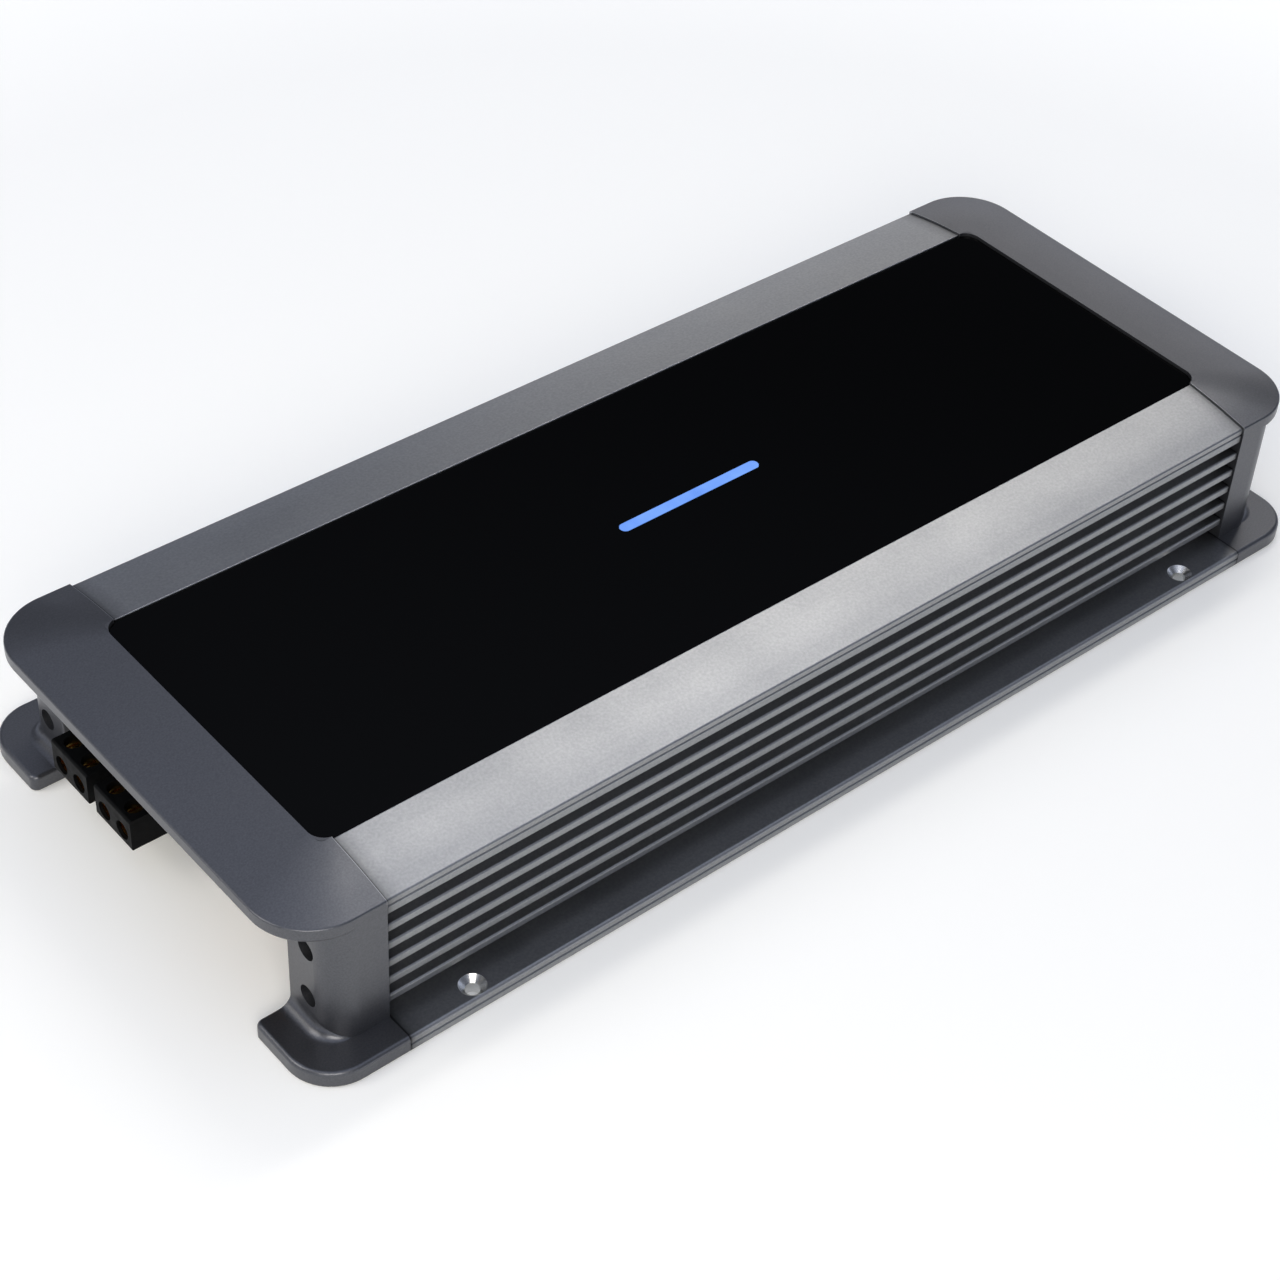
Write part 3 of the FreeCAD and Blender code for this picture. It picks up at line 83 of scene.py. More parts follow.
def grain(tree, size_mm, detail=2.0, stretch=(1, 1, 1)):
    """Noise whose spots are about size_mm across, longer along an axis where stretch is small.
    Grit and flakes under 0.3 mm on the real surface are drawn up to 0.6 mm across, so that they show."""
    place = add(tree, "ShaderNodeTexCoord")
    turned = add(tree, "ShaderNodeMapping", {"Scale": stretch}, {"Vector": place.outputs["Object"]})
    return add(tree, "ShaderNodeTexNoise", {"Scale": 1 / (size_mm * MM), "Detail": detail},
               {"Vector": turned.outputs["Vector"]}).outputs["Fac"]


def ramp(tree, source, low, high, start=0.3, end=0.7):
    """Colour that runs from low to high as the source goes from start to end."""
    node = add(tree, "ShaderNodeValToRGB", None, {"Fac": source})
    node.color_ramp.elements[0].position, node.color_ramp.elements[0].color = start, srgb(low)
    node.color_ramp.elements[1].position, node.color_ramp.elements[1].color = end, srgb(high)
    return node.outputs["Color"]


def level(tree, source, low, high):
    """Number that runs from low to high over the middle of the source's range."""
    return add(tree, "ShaderNodeMapRange", {"From Min": 0.3, "From Max": 0.7, "To Min": low, "To Max": high},
               {"Value": source}).outputs["Result"]


def folded(tree):
    """Place on the part with its signs dropped, for marks that repeat at both ends and sides."""
    place = add(tree, "ShaderNodeTexCoord")
    return add(tree, "ShaderNodeVectorMath", {"operation": "ABSOLUTE"},
               {0: place.outputs["Object"]}).outputs["Vector"]


def along(tree, vector, axis, start_mm, end_mm):
    """Runs from 0 to 1 as the place goes from start to end along one axis."""
    parts = add(tree, "ShaderNodeSeparateXYZ", None, {"Vector": vector})
    return add(tree, "ShaderNodeMapRange", {"From Min": start_mm * MM, "From Max": end_mm * MM},
               {"Value": parts.outputs[axis]}).outputs["Result"]


def within(tree, x_mm, y_mm, radius_mm):
    """1 inside an upright cylinder at all four places that fold onto (x, y), 0 outside."""
    flat = add(tree, "ShaderNodeVectorMath", {"operation": "MULTIPLY", 1: (1, 1, 0)}, {0: folded(tree)})
    away = add(tree, "ShaderNodeVectorMath", {"operation": "DISTANCE", 1: (x_mm * MM, y_mm * MM, 0)},
               {0: flat.outputs["Vector"]})
    edge_mm = 0.1
    return add(tree, "ShaderNodeMapRange", {"From Min": radius_mm * MM, "To Min": 1.0,
                                            "From Max": (radius_mm + edge_mm) * MM, "To Max": 0.0},
               {"Value": away.outputs["Value"]}).outputs["Result"]


def times(tree, source, factor):
    """Product of an output and a number or another output."""
    written = isinstance(factor, float)
    return add(tree, "ShaderNodeMath", {"operation": "MULTIPLY", **({1: factor} if written else {})},
               {0: source, **({} if written else {1: factor})}).outputs["Value"]


def tint(tree, colour, amount, over):
    """Lays a colour, a hex code or an output, over another by an amount from 0 to 1."""
    written = isinstance(over, str)
    return add(tree, "ShaderNodeMix", {"data_type": "RGBA", **({7: srgb(over)} if written else {})},
               {0: amount, 6: colour, **({} if written else {7: over})}).outputs[2]


def shift(tree, value, amount, other):
    """Moves an output towards a number by an amount from 0 to 1."""
    return add(tree, "ShaderNodeMix", {"data_type": "FLOAT", 3: other}, {0: amount, 2: value}).outputs[0]


def finish(name, settings, links=None, height=None, depth_mm=0.0):
    """Material of one surface: settings and links on the shader, height as its relief."""
    material = bpy.data.materials.new(name)
    material.use_nodes = True
    tree = material.node_tree
    tree.nodes.clear()
    inputs = {key: make(tree) for key, make in (links or {}).items()}
    if height:
        bump = add(tree, "ShaderNodeBump", {"Strength": 1.0, "Distance": depth_mm * MM},
                   {"Height": height(tree)})
        inputs["Normal"] = bump.outputs["Normal"]
    shader = add(tree, "ShaderNodeBsdfPrincipled", settings, inputs)
    add(tree, "ShaderNodeOutputMaterial", None, {"Surface": shader.outputs["BSDF"]})
    return material


def blasted_anodised_aluminium():
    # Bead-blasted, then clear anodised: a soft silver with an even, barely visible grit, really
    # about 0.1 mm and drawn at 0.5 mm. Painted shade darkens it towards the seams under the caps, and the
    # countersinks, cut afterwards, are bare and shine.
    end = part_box("heatsink_extrusion")[1][0] / MM
    holes = next(m["dims"] for m in frame["record"]["mounts"] if m["name"] == "mounting_holes")
    countersink_mm = 4.4
    painted_seam_shade = ((7.0, 0.25), (2.2, 0.35), (0.7, 0.75))    # reach in mm, share of dark

    def bare(tree):
        return within(tree, holes["spacing_x_mm"] / 2, holes["spacing_y_mm"] / 2, countersink_mm)

    def colour(tree):
        silver = ramp(tree, grain(tree, 0.9), "#8d8e90", "#999a9b")
        # Painted shade: the colour darkens towards each seam under a cap, where the cap shades the bar.
        for reach, share in painted_seam_shade:
            painted_shade = times(tree, along(tree, folded(tree), "X", end - reach, end - reach / 4), share)
            silver = tint(tree, silver, painted_shade, "#18181a")
        return tint(tree, silver, bare(tree), "#dcdddd")

    def roughness(tree):
        return shift(tree, level(tree, grain(tree, 30.0), 0.38, 0.42), bare(tree), 0.26)
    return finish("blasted_anodised_aluminium", {"Metallic": 1.0},
                  {"Base Color": colour, "Roughness": roughness}, lambda t: grain(t, 0.5), 0.012)


def metallic_cap_paint():
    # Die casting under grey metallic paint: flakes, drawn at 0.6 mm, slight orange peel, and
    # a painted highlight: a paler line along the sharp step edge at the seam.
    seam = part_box("end_cap_right")[0][0] / MM
    eave_low, eave_high = 53.0, 55.0    # the painted highlight lies only on the roof, where the edge is sharp, above these heights

    def colour(tree):
        paint = ramp(tree, grain(tree, 0.6), "#56575b", "#606165")
        # Painted highlight: a pale line on the step face at the seam, standing in for the light that edge
        # catches.
        painted_edge_highlight = times(tree, along(tree, folded(tree), "X", seam + 0.2, seam + 0.1),
                     along(tree, folded(tree), "Z", eave_low, eave_high))
        return tint(tree, paint, times(tree, painted_edge_highlight, 0.4), "#c4c6ca")
    return finish("metallic_cap_paint", {"Metallic": 0.85, "Coat Weight": 0.1, "Coat Roughness": 0.3},
                  {"Base Color": colour,
                   "Roughness": lambda t: level(t, grain(t, 25.0), 0.34, 0.37)},
                  lambda t: grain(t, 1.2), 0.010)


def back_painted_glass():
    # Toughened glass painted black behind: mirror smooth, with the faintest waviness. Its
    # reflections are held lower than plain glass has them, so that it stays black under the lamps.
    return finish("back_painted_glass",
                  {"Base Color": srgb("#030303"), "Roughness": 0.03, "Specular IOR Level": 0.07},
                  None, lambda t: grain(t, 60.0, 0.0), 0.010)


def lit_diffuser():
    # Blue opal acrylic lit from behind: an even glow, a little stronger over each lamp.
    return finish("lit_diffuser", {"Roughness": 0.3, "Emission Strength": 0.85},
                  {"Base Color": lambda t: ramp(t, grain(t, 4.0), "#27447c", "#2d4d8a"),
                   "Emission Color": lambda t: ramp(t, grain(t, 9.0), "#6697ee", "#7aaafb")})


def black_coated_steel():
    # Sheet steel under black powder coat: fine pebbled texture.
    return finish("black_coated_steel", {},
                  {"Base Color": lambda t: ramp(t, grain(t, 1.5), "#17181a", "#1e1f22"),
                   "Roughness": lambda t: level(t, grain(t, 8.0), 0.48, 0.6)},
                  lambda t: grain(t, 0.8), 0.03)


def black_oxide_steel():
    # Heat-blackened screw steel with a thin oil sheen.
    return finish("black_oxide_steel", {"Metallic": 0.8},
                  {"Base Color": lambda t: ramp(t, grain(t, 1.0), "#141416", "#202124"),
                   "Roughness": lambda t: level(t, grain(t, 2.0), 0.35, 0.5)},
                  lambda t: grain(t, 0.4), 0.01)


def zinc_plated_steel():
    # Bright zinc over turned or rolled steel: pale grey, slightly cloudy.
    return finish("zinc_plated_steel", {"Metallic": 1.0},
                  {"Base Color": lambda t: ramp(t, grain(t, 1.6), "#a9abad", "#c4c6c6"),
                   "Roughness": lambda t: level(t, grain(t, 2.5), 0.26, 0.4)},
                  lambda t: grain(t, 0.5, 2.0, (0.2, 1, 1)), 0.008)


def moulded_nylon():
    # Glass-filled black nylon from a spark-eroded mould: matt, slightly mottled.
    return finish("moulded_nylon", {"Specular IOR Level": 0.06},
                  {"Base Color": lambda t: ramp(t, grain(t, 2.0), "#070708", "#0c0d0e"),
                   "Roughness": lambda t: level(t, grain(t, 3.0), 0.42, 0.56)},
                  lambda t: grain(t, 0.35), 0.015)


def input_insulator():
    # Black nylon block whose round insulators carry the usual code: red one side, white the other.
    low, high = ([v / MM for v in corner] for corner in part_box("rca_block"))

    def colour(tree):
        place = add(tree, "ShaderNodeTexCoord").outputs["Object"]
        middle, rim = (low[1] + high[1]) / 2, high[0] - 2.0
        coded = tint(tree, ramp(tree, grain(tree, 2.0), "#c9c7c0", "#d6d4cd"),
                     along(tree, place, "Y", middle - 0.1, middle + 0.1), "#9c1d1a")
        black = ramp(tree, grain(tree, 2.0), "#08090a", "#0f1011")
        return tint(tree, black, along(tree, place, "X", rim, rim + 0.1), coded)
    return finish("input_insulator", {},
                  {"Base Color": colour, "Roughness": lambda t: level(t, grain(t, 3.0), 0.32, 0.42)},
                  lambda t: grain(t, 0.35), 0.01)


def indicator_paint():
    # White filled paint wiped into a moulded groove: matt, a little uneven.
    return finish("indicator_paint", {},
                  {"Base Color": lambda t: ramp(t, grain(t, 1.0), "#d9d9d6", "#e8e8e5"),
                   "Roughness": lambda t: level(t, grain(t, 1.0), 0.6, 0.75)},
                  lambda t: grain(t, 0.4), 0.01)


def taped_core():
    # Ferrite ring under polyester tape: glossy pale yellow, with the laps of the tape showing.
    return finish("taped_core", {},
                  {"Base Color": lambda t: ramp(t, grain(t, 3.0), "#b59a45", "#c4a850"),
                   "Roughness": lambda t: level(t, grain(t, 4.0), 0.25, 0.35)},
                  lambda t: grain(t, 2.0), 0.05)


def turned_brass():
    # Bright turned brass: warm yellow with fine rings from the tool.
    return finish("turned_brass", {"Metallic": 1.0},
                  {"Base Color": lambda t: ramp(t, grain(t, 1.0), "#cfa04a", "#e2b866"),
                   "Roughness": lambda t: level(t, grain(t, 1.5), 0.12, 0.2)},
                  lambda t: grain(t, 0.3, 1.0, (1, 1, 0.15)), 0.006)


def bright_nickel():
    # Nickel plate over brass: warm white mirror with a light haze.
    return finish("bright_nickel", {"Metallic": 1.0},
                  {"Base Color": lambda t: ramp(t, grain(t, 1.2), "#c6c2b8", "#d6d3ca"),
                   "Roughness": lambda t: level(t, grain(t, 2.0), 0.12, 0.22)},
                  lambda t: grain(t, 0.6), 0.004)


def amber_fuse_plastic():
    # Clear tinted moulding of a blade fuse: glossy amber.
    return finish("amber_fuse_plastic", {"Transmission Weight": 0.55, "IOR": 1.49},
                  {"Base Color": lambda t: ramp(t, grain(t, 3.0), "#e8871c", "#f2a03c"),
                   "Roughness": lambda t: level(t, grain(t, 2.0), 0.12, 0.2)},
                  lambda t: grain(t, 1.5), 0.006)


def solder_mask():
    # Epoxy-glass board under green solder mask: copper tracks show as a slightly raised pattern.
    tracks_apart_mm = 50 / 3

    def tracks(tree):
        place = add(tree, "ShaderNodeTexCoord")
        return add(tree, "ShaderNodeTexBrick",
                   {"Scale": 1 / (tracks_apart_mm * MM), "Mortar Size": 0.03, "Color1": srgb("#16402a"),
                    "Color2": srgb("#1d5236"), "Mortar": srgb("#2a6b48")}, {"Vector": place.outputs["Object"]})
    return finish("solder_mask", {"Roughness": 0.3, "Coat Weight": 0.2},
                  {"Base Color": lambda t: tracks(t).outputs["Color"]},
                  lambda t: tracks(t).outputs["Fac"], 0.03)


def silicone_pad():
    # Filled silicone sheet: pale grey, soft and matt.
    return finish("silicone_pad", {},
                  {"Base Color": lambda t: ramp(t, grain(t, 1.0), "#8d9398", "#9ba1a6"),
                   "Roughness": lambda t: level(t, grain(t, 2.0), 0.7, 0.85)},
                  lambda t: grain(t, 0.5), 0.01)


def moulded_epoxy():
    # Transfer-moulded epoxy of chips and controls: dull black with a fine peel.
    return finish("moulded_epoxy", {},
                  {"Base Color": lambda t: ramp(t, grain(t, 1.0), "#141414", "#1d1d1e"),
                   "Roughness": lambda t: level(t, grain(t, 2.0), 0.5, 0.62)},
                  lambda t: grain(t, 0.3), 0.012)


def enamelled_copper():
    # Copper wire under clear enamel: glossy reddish brown, wound side by side.
    return finish("enamelled_copper", {"Metallic": 0.9, "Coat Weight": 0.6, "Coat Roughness": 0.1},
                  {"Base Color": lambda t: ramp(t, grain(t, 2.0), "#8c4a24", "#b3662f"),
                   "Roughness": lambda t: level(t, grain(t, 3.0), 0.25, 0.38)},
                  lambda t: grain(t, 1.0), 0.02)


def shrunk_sleeve():
    # PVC sleeve shrunk round a capacitor can: glossy dark blue, open over the plain metal top.
    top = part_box("supply_capacitors")[1][2] / MM

    def colour(tree):
        place = add(tree, "ShaderNodeTexCoord").outputs["Object"]
        sleeve = ramp(tree, grain(tree, 5.0), "#10142a", "#181e3c")
        return tint(tree, sleeve, along(tree, place, "Z", top - 0.3, top - 0.1), "#b9babb")
    return finish("shrunk_sleeve", {},
                  {"Base Color": colour,
                   "Roughness": lambda t: level(t, grain(t, 4.0), 0.2, 0.3)},
                  lambda t: grain(t, 6.0), 0.02)


def dipped_film_capacitor():
    # Flame-retardant dip over a film capacitor: glossy dark red.
    return finish("dipped_film_capacitor", {},
                  {"Base Color": lambda t: ramp(t, grain(t, 3.0), "#6c1713", "#84201a"),
                   "Roughness": lambda t: level(t, grain(t, 2.0), 0.25, 0.38)},
                  lambda t: grain(t, 1.0), 0.02)


FINISHES = {    # by the slot that a node names, then those that only single pieces have
    "anodised_aluminium": blasted_anodised_aluminium(),
    "cap_paint": metallic_cap_paint(),
    "glass_black": back_painted_glass(),
    "lens_blue": lit_diffuser(),
    "black_steel": black_coated_steel(),
    "screw_steel": zinc_plated_steel(),
    "black_screw": black_oxide_steel(),
    "black_plastic": moulded_nylon(),
    "brass": turned_brass(),
    "nickel": bright_nickel(),
    "fuse_amber": amber_fuse_plastic(),
    "board_green": solder_mask(),
    "pad_grey": silicone_pad(),
    "epoxy_black": moulded_epoxy(),
    "copper_enamel": enamelled_copper(),
    "capacitor_sleeve": shrunk_sleeve(),
    "film_red": dipped_film_capacitor(),
    "coded_insulator": input_insulator(),
    "pointer_paint": indicator_paint(),
    "core_tape": taped_core(),
}
OWN_FINISH = {"rca_block": "coded_insulator"}    # nodes that show more than their slot's finish


def dress_frame():
    """Gives every node of the frame the finish that its slot names."""
    for part in frame["record"]["subparts"]:
        mesh = frame["nodes"][part["node"]].data
        mesh.materials.clear()
        mesh.materials.append(FINISHES[OWN_FINISH.get(part["node"], part["material_slot"])])


# ---- shared moves --------------------------------------------------------------------
def start(add_shape, name, **settings):
    """Adds a primitive at its size and place, alone in the selection."""
    bpy.ops.object.select_all(action="DESELECT")
    add_shape(**settings)
    piece = bpy.context.object
    piece.name = name
    bpy.ops.object.transform_apply(location=True, rotation=True, scale=True)
    return piece


def brick(name, low, high):
    """Box between two corners, in metres."""
    low, high = Vector(low), Vector(high)
    return start(bpy.ops.mesh.primitive_cube_add, name, size=1.0, location=(low + high) / 2,
                 scale=high - low)


def hold(piece):
    """Selects one piece alone and makes it active."""
    bpy.ops.object.select_all(action="DESELECT")
    piece.select_set(True)
    bpy.context.view_layer.objects.active = piece


def pick(piece, test):
    """Opens the mesh with the faces selected that pass a test of centre and normal."""
    hold(piece)
    bpy.ops.object.mode_set(mode="EDIT")
    bpy.ops.mesh.select_mode(type="FACE")
    bpy.ops.mesh.select_all(action="DESELECT")
    bpy.ops.object.mode_set(mode="OBJECT")
    for face in piece.data.polygons:
        face.select = test(face.center, face.normal)
    bpy.ops.object.mode_set(mode="EDIT")


def close_mesh():
    """Leaves edit mode, which `pick` opened."""
    bpy.ops.object.mode_set(mode="OBJECT")


def round_rims(piece, test, size_mm, segments=2):
    """Bevels the edges round the faces that pass the test."""
    pick(piece, test)
    bpy.ops.mesh.region_to_loop()
    bpy.ops.mesh.bevel(offset=size_mm * MM, segments=segments, affect="EDGES")
    close_mesh()


def cut(piece, tool):
    """Takes one solid out of another."""
    change = piece.modifiers.new("cut", "BOOLEAN")
    change.object, change.solver = tool, "EXACT"
    hold(piece)
    bpy.ops.object.modifier_apply(modifier="cut")
    bpy.data.objects.remove(tool)


def join(pieces, name):
    """Makes one object of several, with the faces as they are."""
    bpy.ops.object.select_all(action="DESELECT")
    for piece in pieces:
        piece.select_set(True)
    bpy.context.view_layer.objects.active = pieces[0]
    bpy.ops.object.join()
    pieces[0].name = name
    return pieces[0]


def copied(piece, name, matrix):
    """The same shape in another place, with its own mesh."""
    twin = piece.copy()
    twin.data = piece.data.copy()
    twin.data.transform(matrix)
    twin.name = name
    bpy.context.collection.objects.link(twin)
    return twin


def coat(piece, materials, index=lambda centre, normal: 0):
    """Gives a piece its finishes, one to each face by its place."""
    piece.data.materials.clear()
    for material in materials:
        piece.data.materials.append(material)
    for face in piece.data.polygons:
        face.material_index = index(face.center, face.normal)


def fit(piece, node, body, angle=35):
    """Lets a finished piece stand for a node of the frame and move with its body."""
    hold(piece)
    bpy.ops.object.shade_smooth_by_angle(angle=math.radians(angle))
    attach(piece, body)
    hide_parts(node)


def nodes_named(start_of_name):
    """Nodes whose names start alike, in the record's order."""
    return [p["node"] for p in frame["record"]["subparts"] if p["node"].startswith(start_of_name)]


def corners(node):
    """Lowest and highest corner of a node's box."""
    return (Vector(corner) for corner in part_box(node))


def fit_each(piece, prefix, nodes):
    """Fits a piece at the first node, and a copy of it at each of the others."""
    first = Vector(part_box(nodes[0])[0])
    for node in nodes[1:]:
        step = Matrix.Translation(Vector(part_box(node)[0]) - first)
        fit(copied(piece, prefix + node, step), node, node)
    fit(piece, nodes[0], nodes[0])


# ---- pieces --------------------------------------------------------------------------
def slotted_set_screws():
    """Brass screws with rolled threads and a driver slot, in the wells of the terminals."""
    nodes = nodes_named("set_screw")
    low, high = corners(nodes[0])
    centre, radius, length = (low + high) / 2, (high.y - low.y) / 2, high.z - low.z
    plain_end, half_pitch, root_share = 0.4 * MM, 0.32 * MM, 0.87
    slot_half, slot_depth = 0.4 * MM, 0.9 * MM
    screw = start(bpy.ops.mesh.primitive_cylinder_add, "slotted_" + nodes[0], vertices=32, radius=radius,
                  depth=length, location=centre)
    for ring in range(int((length - 2 * plain_end) / half_pitch)):
        pick(screw, lambda c, n: abs(n.z) < 0.5)
        height = low.z + plain_end + ring * half_pitch
        bpy.ops.mesh.bisect(plane_co=(0, 0, height), plane_no=(0, 0, 1))
        if ring % 2:
            bpy.ops.transform.resize(value=(root_share, root_share, 1),
                                     center_override=(centre.x, centre.y, height))
        close_mesh()
    round_rims(screw, lambda c, n: n.z > 0.9, 0.2)
    cut(screw, brick("slot", (low.x - MM, centre.y - slot_half, high.z - slot_depth),
                     (high.x + MM, centre.y + slot_half, high.z + MM)))
    coat(screw, [FINISHES["brass"]])
    fit_each(screw, "slotted_", nodes)


def fluted_knobs():
    """Control knobs with a fluted grip, a dished face and a painted pointer groove."""
    nodes = nodes_named("knob_")
    low, high = corners(nodes[0])
    centre, radius, length = (low + high) / 2, (high.y - low.y) / 2, 7.0 * MM
    turned, facets, shaft_radius = (0, math.pi / 2, 0), 48, 2.0 * MM
    groove_half, groove_depth = 0.45 * MM, 0.9 * MM
    knob = start(bpy.ops.mesh.primitive_cylinder_add, "fluted_" + nodes[0], vertices=facets, radius=radius,
                 depth=length, location=(high.x - length / 2, centre.y, centre.z), rotation=turned)
    round_rims(knob, lambda c, n: n.x > 0.9, 0.45, 3)

    def in_flute(c, n):
        turn = math.atan2(c.z - centre.z, c.y - centre.y) / (2 * math.pi) * facets
        return abs(n.x) < 0.1 and math.floor(turn) % 2 == 0
    pick(knob, in_flute)
    bpy.ops.mesh.inset(thickness=0.04 * MM, depth=-0.3 * MM, use_individual=True)
    close_mesh()
    pick(knob, lambda c, n: n.x > 0.99 and c.x > high.x - 0.01 * MM)
    bpy.ops.mesh.inset(thickness=0.7 * MM, depth=0.0)
    bpy.ops.mesh.inset(thickness=0.25 * MM, depth=-0.25 * MM)
    close_mesh()
    cut(knob, brick("groove", (high.x - groove_depth, centre.y - groove_half, centre.z),
                    (high.x + MM, centre.y + groove_half, high.z + MM)))
    shaft = start(bpy.ops.mesh.primitive_cylinder_add, "shaft", vertices=24, radius=shaft_radius,
                  depth=high.x - length - low.x, rotation=turned,
                  location=((high.x - length + low.x) / 2, centre.y, centre.z))
    knob = join([knob, shaft], "fluted_" + nodes[0])

    def painted(c, n):
        bottom = abs(c.x - high.x + groove_depth) < 0.05 * MM
        return int(n.x > 0.9 and bottom and abs(c.y - centre.y) < groove_half + 0.05 * MM)
    coat(knob, [FINISHES["black_plastic"], FINISHES["pointer_paint"]], painted)
    fit_each(knob, "fluted_", nodes)


def blade_fuses():
    """Plug-in fuses: recessed tinted heads with test ports, over two tinned blades."""
    nodes = ["fuse_front", "fuse_back"]
    low, high = corners(nodes[0])
    centre, floor = (low + high) / 2, low.x + 11.0 * MM
    blade_half, blade_half_thick, blade_from_middle = 2.6 * MM, 0.35 * MM, 6.3 * MM
    port_half, port_half_high, port_depth = 0.9 * MM, 0.6 * MM, 3.0 * MM
    head = brick("bladed_" + nodes[0], low, (floor, high.y, high.z))
    round_rims(head, lambda c, n: abs(n.y) > 0.9, 0.6)
    pick(head, lambda c, n: n.x < -0.9)
    bpy.ops.mesh.inset(thickness=0.8 * MM, depth=-0.7 * MM)
    close_mesh()
    pick(head, lambda c, n: abs(n.z) > 0.99 and abs(c.z - centre.z) > 2 * MM)
    bpy.ops.mesh.inset(thickness=1.9 * MM, depth=-0.6 * MM, use_individual=True)
    close_mesh()
    for side in (-1, 1):
        y = centre.y + side * blade_from_middle
        cut(head, brick("port", (low.x - MM, y - port_half, centre.z - port_half_high),
                        (low.x + port_depth, y + port_half, centre.z + port_half_high)))
    coat(head, [FINISHES["fuse_amber"], FINISHES["screw_steel"]])
    blades = []
    for side in (-1, 1):
        y = centre.y + side * blade_from_middle
        blade = brick("blade", (floor, y - blade_half, centre.z - blade_half_thick),
                      (high.x, y + blade_half, centre.z + blade_half_thick))
        round_rims(blade, lambda c, n: n.x > 0.9, 0.25)
        coat(blade, [FINISHES["fuse_amber"], FINISHES["screw_steel"]], lambda c, n: 1)
        blades.append(blade)
    fit_each(join([head] + blades, "bladed_" + nodes[0]), "bladed_", nodes)


def ridged_lever():
    """Slide lever with finger ridges on its end."""
    node, groove_step, groove_half, groove_depth = "phase_switch_lever", 0.9 * MM, 0.2 * MM, 0.4 * MM
    low, high = corners(node)
    lever = brick("ridged_" + node, low, high)
    round_rims(lever, lambda c, n: n.x > 0.9, 0.3)
    for place in (-1, 0, 1):
        y = (low.y + high.y) / 2 + place * groove_step
        cut(lever, brick("groove", (high.x - groove_depth, y - groove_half, low.z - MM),
                         (high.x + MM, y + groove_half, high.z + MM)))
    coat(lever, [FINISHES["black_plastic"]])
    fit(lever, node, node)


def wound_ring(node, name, turns, wire_mm, hole_radius_mm):
    """Turns of enamelled wire round a taped ring core."""
    low, high = corners(node)
    centre, wire, hole = (low + high) / 2, wire_mm * MM, hole_radius_mm * MM
    outer, height = (high.x - low.x) / 2, high.z - low.z
    middle, half, wound_depth = (outer + hole) / 2, (outer - hole) / 2, 1.2 * wire
    core = start(bpy.ops.mesh.primitive_torus_add, "core", major_radius=middle, major_segments=64,
                 minor_radius=half - wound_depth, minor_segments=20, location=centre)
    bpy.ops.transform.resize(value=(1, 1, (height / 2 - wound_depth) / (half - wound_depth)),
                             center_override=centre)
    bpy.ops.object.transform_apply(location=True, rotation=True, scale=True)
    coat(core, [FINISHES["copper_enamel"], FINISHES["core_tape"]], lambda c, n: 1)
    loop = start(bpy.ops.mesh.primitive_torus_add, "turn", major_radius=half - wire / 2,
                 minor_radius=wire / 2, major_segments=24, minor_segments=8,
                 location=(centre.x + middle, centre.y, centre.z), rotation=(math.pi / 2, 0, 0))
    bpy.ops.transform.resize(value=(1, 1, (height - wire) / (2 * half - wire)), center_override=centre)
    bpy.ops.object.transform_apply(location=True, rotation=True, scale=True)
    coat(loop, [FINISHES["copper_enamel"], FINISHES["core_tape"]])
    wound = [core, loop]
    for turn in range(1, turns):
        spot = (Matrix.Translation(centre) @ Matrix.Rotation(turn * 2 * math.pi / turns, 4, "Z")
                @ Matrix.Translation(-centre))
        wound.append(copied(loop, "turn", spot))
    fit(join(wound, name), node, "root", 60)


# ---- stage ---------------------------------------------------------------------------
def lay_floor():
    """Paper sweep under the amplifier: white where nothing shades it, and white again far away."""
    below, near_glow, far_glow = 0.2 * MM, 0.14, 0.5
    bpy.ops.mesh.primitive_plane_add(size=12.0, location=(0, 0, cad_box[0][2] - below))
    floor = bpy.context.object
    floor.name = "floor"
    material = bpy.data.materials.new("paper_sweep")
    material.use_nodes = True
    tree = material.node_tree
    tree.nodes.clear()
    path = add(tree, "ShaderNodeLightPath")
    seen = add(tree, "ShaderNodeMath", {"operation": "MAXIMUM"},
               {0: path.outputs["Is Camera Ray"], 1: path.outputs["Is Glossy Ray"]})
    seen = add(tree, "ShaderNodeMath", {"operation": "MAXIMUM"},
               {0: seen.outputs["Value"], 1: path.outputs["Is Transmission Ray"]})
    near = add(tree, "ShaderNodeMath", {"operation": "MULTIPLY", 1: near_glow}, {0: seen.outputs["Value"]})
    place = add(tree, "ShaderNodeTexCoord")
    away = add(tree, "ShaderNodeVectorMath", {"operation": "LENGTH"}, {0: place.outputs["Object"]})
    far = add(tree, "ShaderNodeMapRange", {"From Min": 0.4, "From Max": 1.2, "To Max": far_glow},
              {"Value": away.outputs["Value"]})
    glow = add(tree, "ShaderNodeMath", {"operation": "MULTIPLY_ADD"},
               {0: far.outputs["Result"], 1: path.outputs["Is Camera Ray"], 2: near.outputs["Value"]})
    paper = add(tree, "ShaderNodeBsdfPrincipled",
                {"Base Color": srgb("#f4f4f1"), "Roughness": 0.9, "Emission Color": srgb("#fffdf6")},
                {"Emission Strength": glow.outputs["Value"]})
    add(tree, "ShaderNodeOutputMaterial", None, {"Surface": paper.outputs["BSDF"]})
    floor.data.materials.append(material)


def hang_lamp(name, place, long_side, size, power):
    """Area lamp that faces the amplifier, turned by the way its long side runs."""
    bpy.ops.object.light_add(type="AREA", location=place)
    lamp = bpy.context.object
    lamp.name = name
    lamp.data.shape = "RECTANGLE"
    lamp.data.size, lamp.data.size_y = size
    lamp.data.energy = power
    lamp.data.color = srgb("#fffaf1")[:3]
    back = Vector(place).normalized()
    side = (Vector(long_side) - back * back.dot(Vector(long_side))).normalized()
    lamp.matrix_world = (Matrix.Translation(place)
                         @ Matrix((side, back.cross(side), back)).transposed().to_4x4())


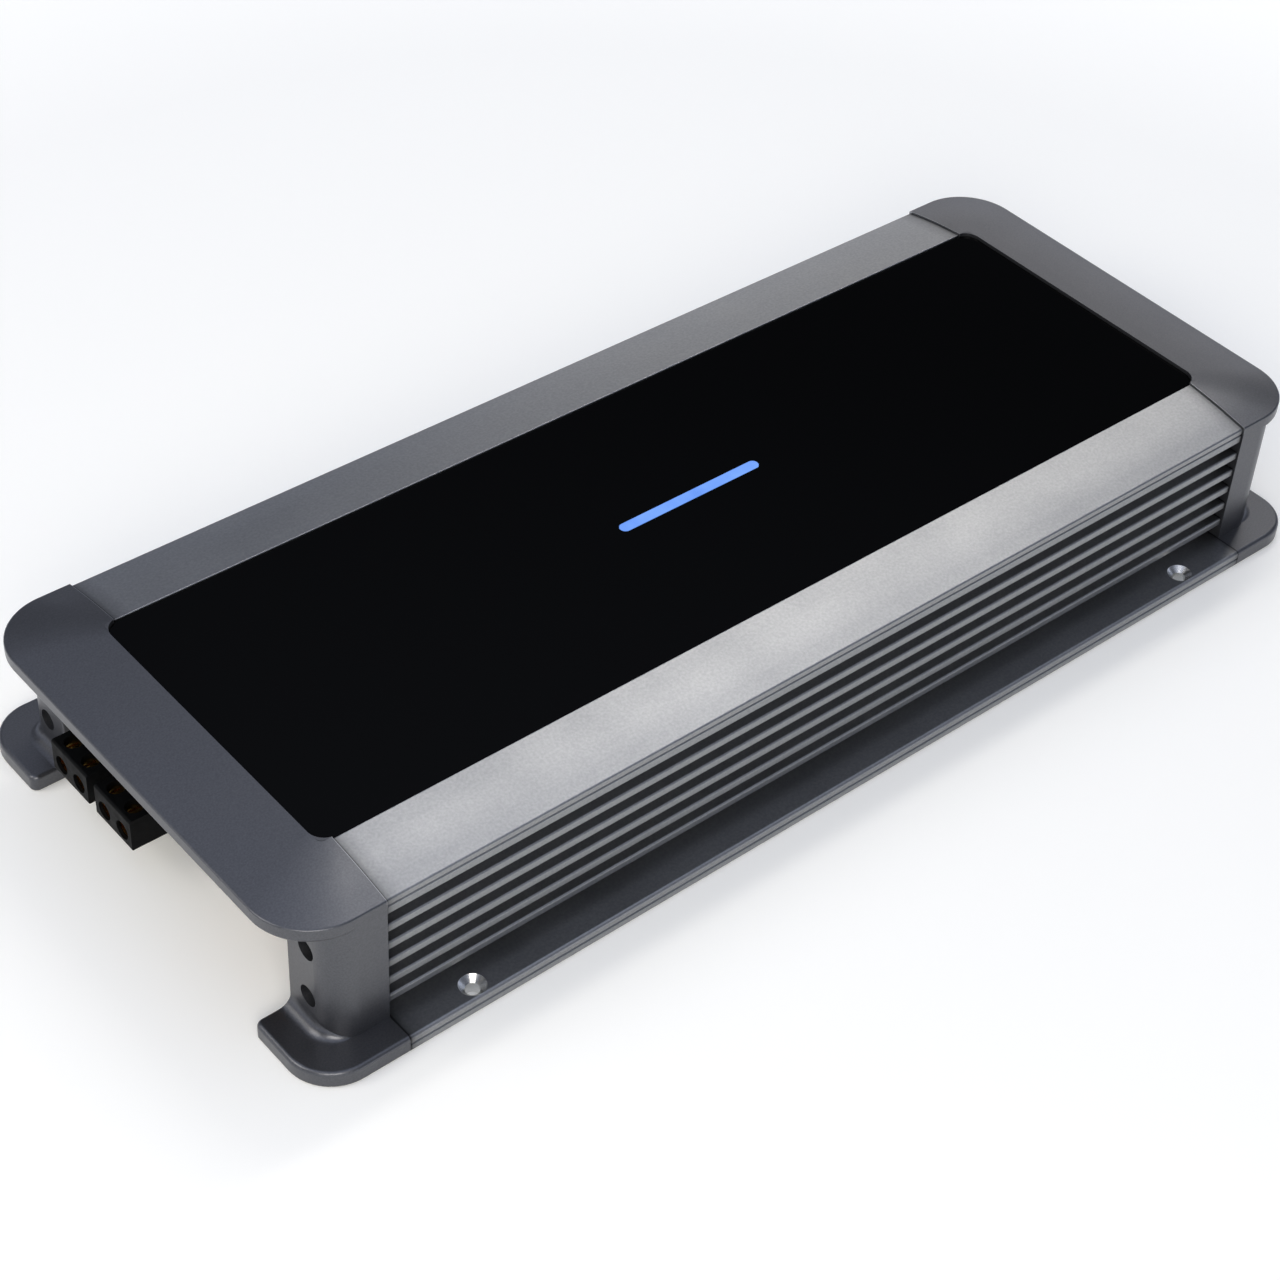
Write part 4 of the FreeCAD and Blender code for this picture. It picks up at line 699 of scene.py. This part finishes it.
def light_room():
    """Pale walls low down and a ceiling overhead, with a darker band between them that the top
    mirrors, all plain white to the eye. Softboxes draw the highlights on the bars and the caps.
    Heights of walls and ceiling are sines of the angle above the horizon."""
    world = bpy.data.worlds.new("room")
    bpy.context.scene.world = world
    world.use_nodes = True
    tree = world.node_tree
    place = add(tree, "ShaderNodeTexCoord")
    way = add(tree, "ShaderNodeSeparateXYZ", None, {"Vector": place.outputs["Generated"]})
    walls = add(tree, "ShaderNodeMapRange", {"interpolation_type": "SMOOTHSTEP", "From Min": 0.18,
                "From Max": 0.32, "To Min": 1.0, "To Max": 0.12}, {"Value": way.outputs["Z"]})
    ceiling = add(tree, "ShaderNodeMapRange", {"interpolation_type": "SMOOTHSTEP", "From Min": 0.55,
                  "From Max": 0.87, "To Min": 0.0, "To Max": 0.88}, {"Value": way.outputs["Z"]})
    rise = add(tree, "ShaderNodeMath", {"operation": "ADD"},
               {0: walls.outputs["Result"], 1: ceiling.outputs["Result"]})
    background = tree.nodes["Background"]
    background.inputs["Color"].default_value = srgb("#d6def3")
    tree.links.new(rise.outputs["Value"], background.inputs["Strength"])
    path = add(tree, "ShaderNodeLightPath")
    backdrop = add(tree, "ShaderNodeBackground", {"Color": srgb("#ffffff"), "Strength": 1.0})
    shown = add(tree, "ShaderNodeMixShader", None, {0: path.outputs["Is Camera Ray"],
                1: background.outputs["Background"], 2: backdrop.outputs["Background"]})
    tree.links.new(shown.outputs["Shader"], tree.nodes["World Output"].inputs["Surface"])
    hang_lamp("bar_softbox", (0.82, 0.46, 1.38), (0.85, -0.20, -0.50), (0.95, 0.16), 5.0)
    hang_lamp("low_softbox", (1.18, 0.98, 0.58), (-0.7, 0.7, 0.0), (1.2, 0.35), 1.6)
    hang_lamp("left_softbox", (-1.45, 0.5, 1.2), (0.3, 0.95, 0.0), (0.9, 0.9), 10)
    hang_lamp("front_softbox", (-0.80, -0.90, 0.75), (0.9, -0.7, 0.0), (0.8, 0.5), 8)


def set_camera():
    """Long lens above the front left corner; right, up and back are the camera's own axes."""
    right = Vector((0.757633, -0.649862, 0.060595))
    up = Vector((0.399957, 0.535632, 0.743728))
    back = Vector((-0.515778, -0.539237, 0.665730))
    data = bpy.data.cameras.new("camera")
    data.lens, data.sensor_width = 75.6, 36.0
    data.shift_x = -0.043
    camera = bpy.data.objects.new("camera", data)
    bpy.context.collection.objects.link(camera)
    turned = Matrix((right, up, back)).transposed().to_4x4()
    camera.matrix_world = Matrix.Translation((-0.48039, -0.51030, 0.61975)) @ turned
    bpy.context.scene.camera = camera


dress_frame()
slotted_set_screws()
fluted_knobs()
blade_fuses()
ridged_lever()
wound_ring("transformer_winding", "wound_transformer", turns=40, wire_mm=1.8, hole_radius_mm=12.0)
wound_ring("output_choke", "wound_choke", turns=26, wire_mm=1.5, hole_radius_mm=7.0)
lay_floor()
light_room()
set_camera()
bpy.context.scene.view_settings.view_transform = "Standard"
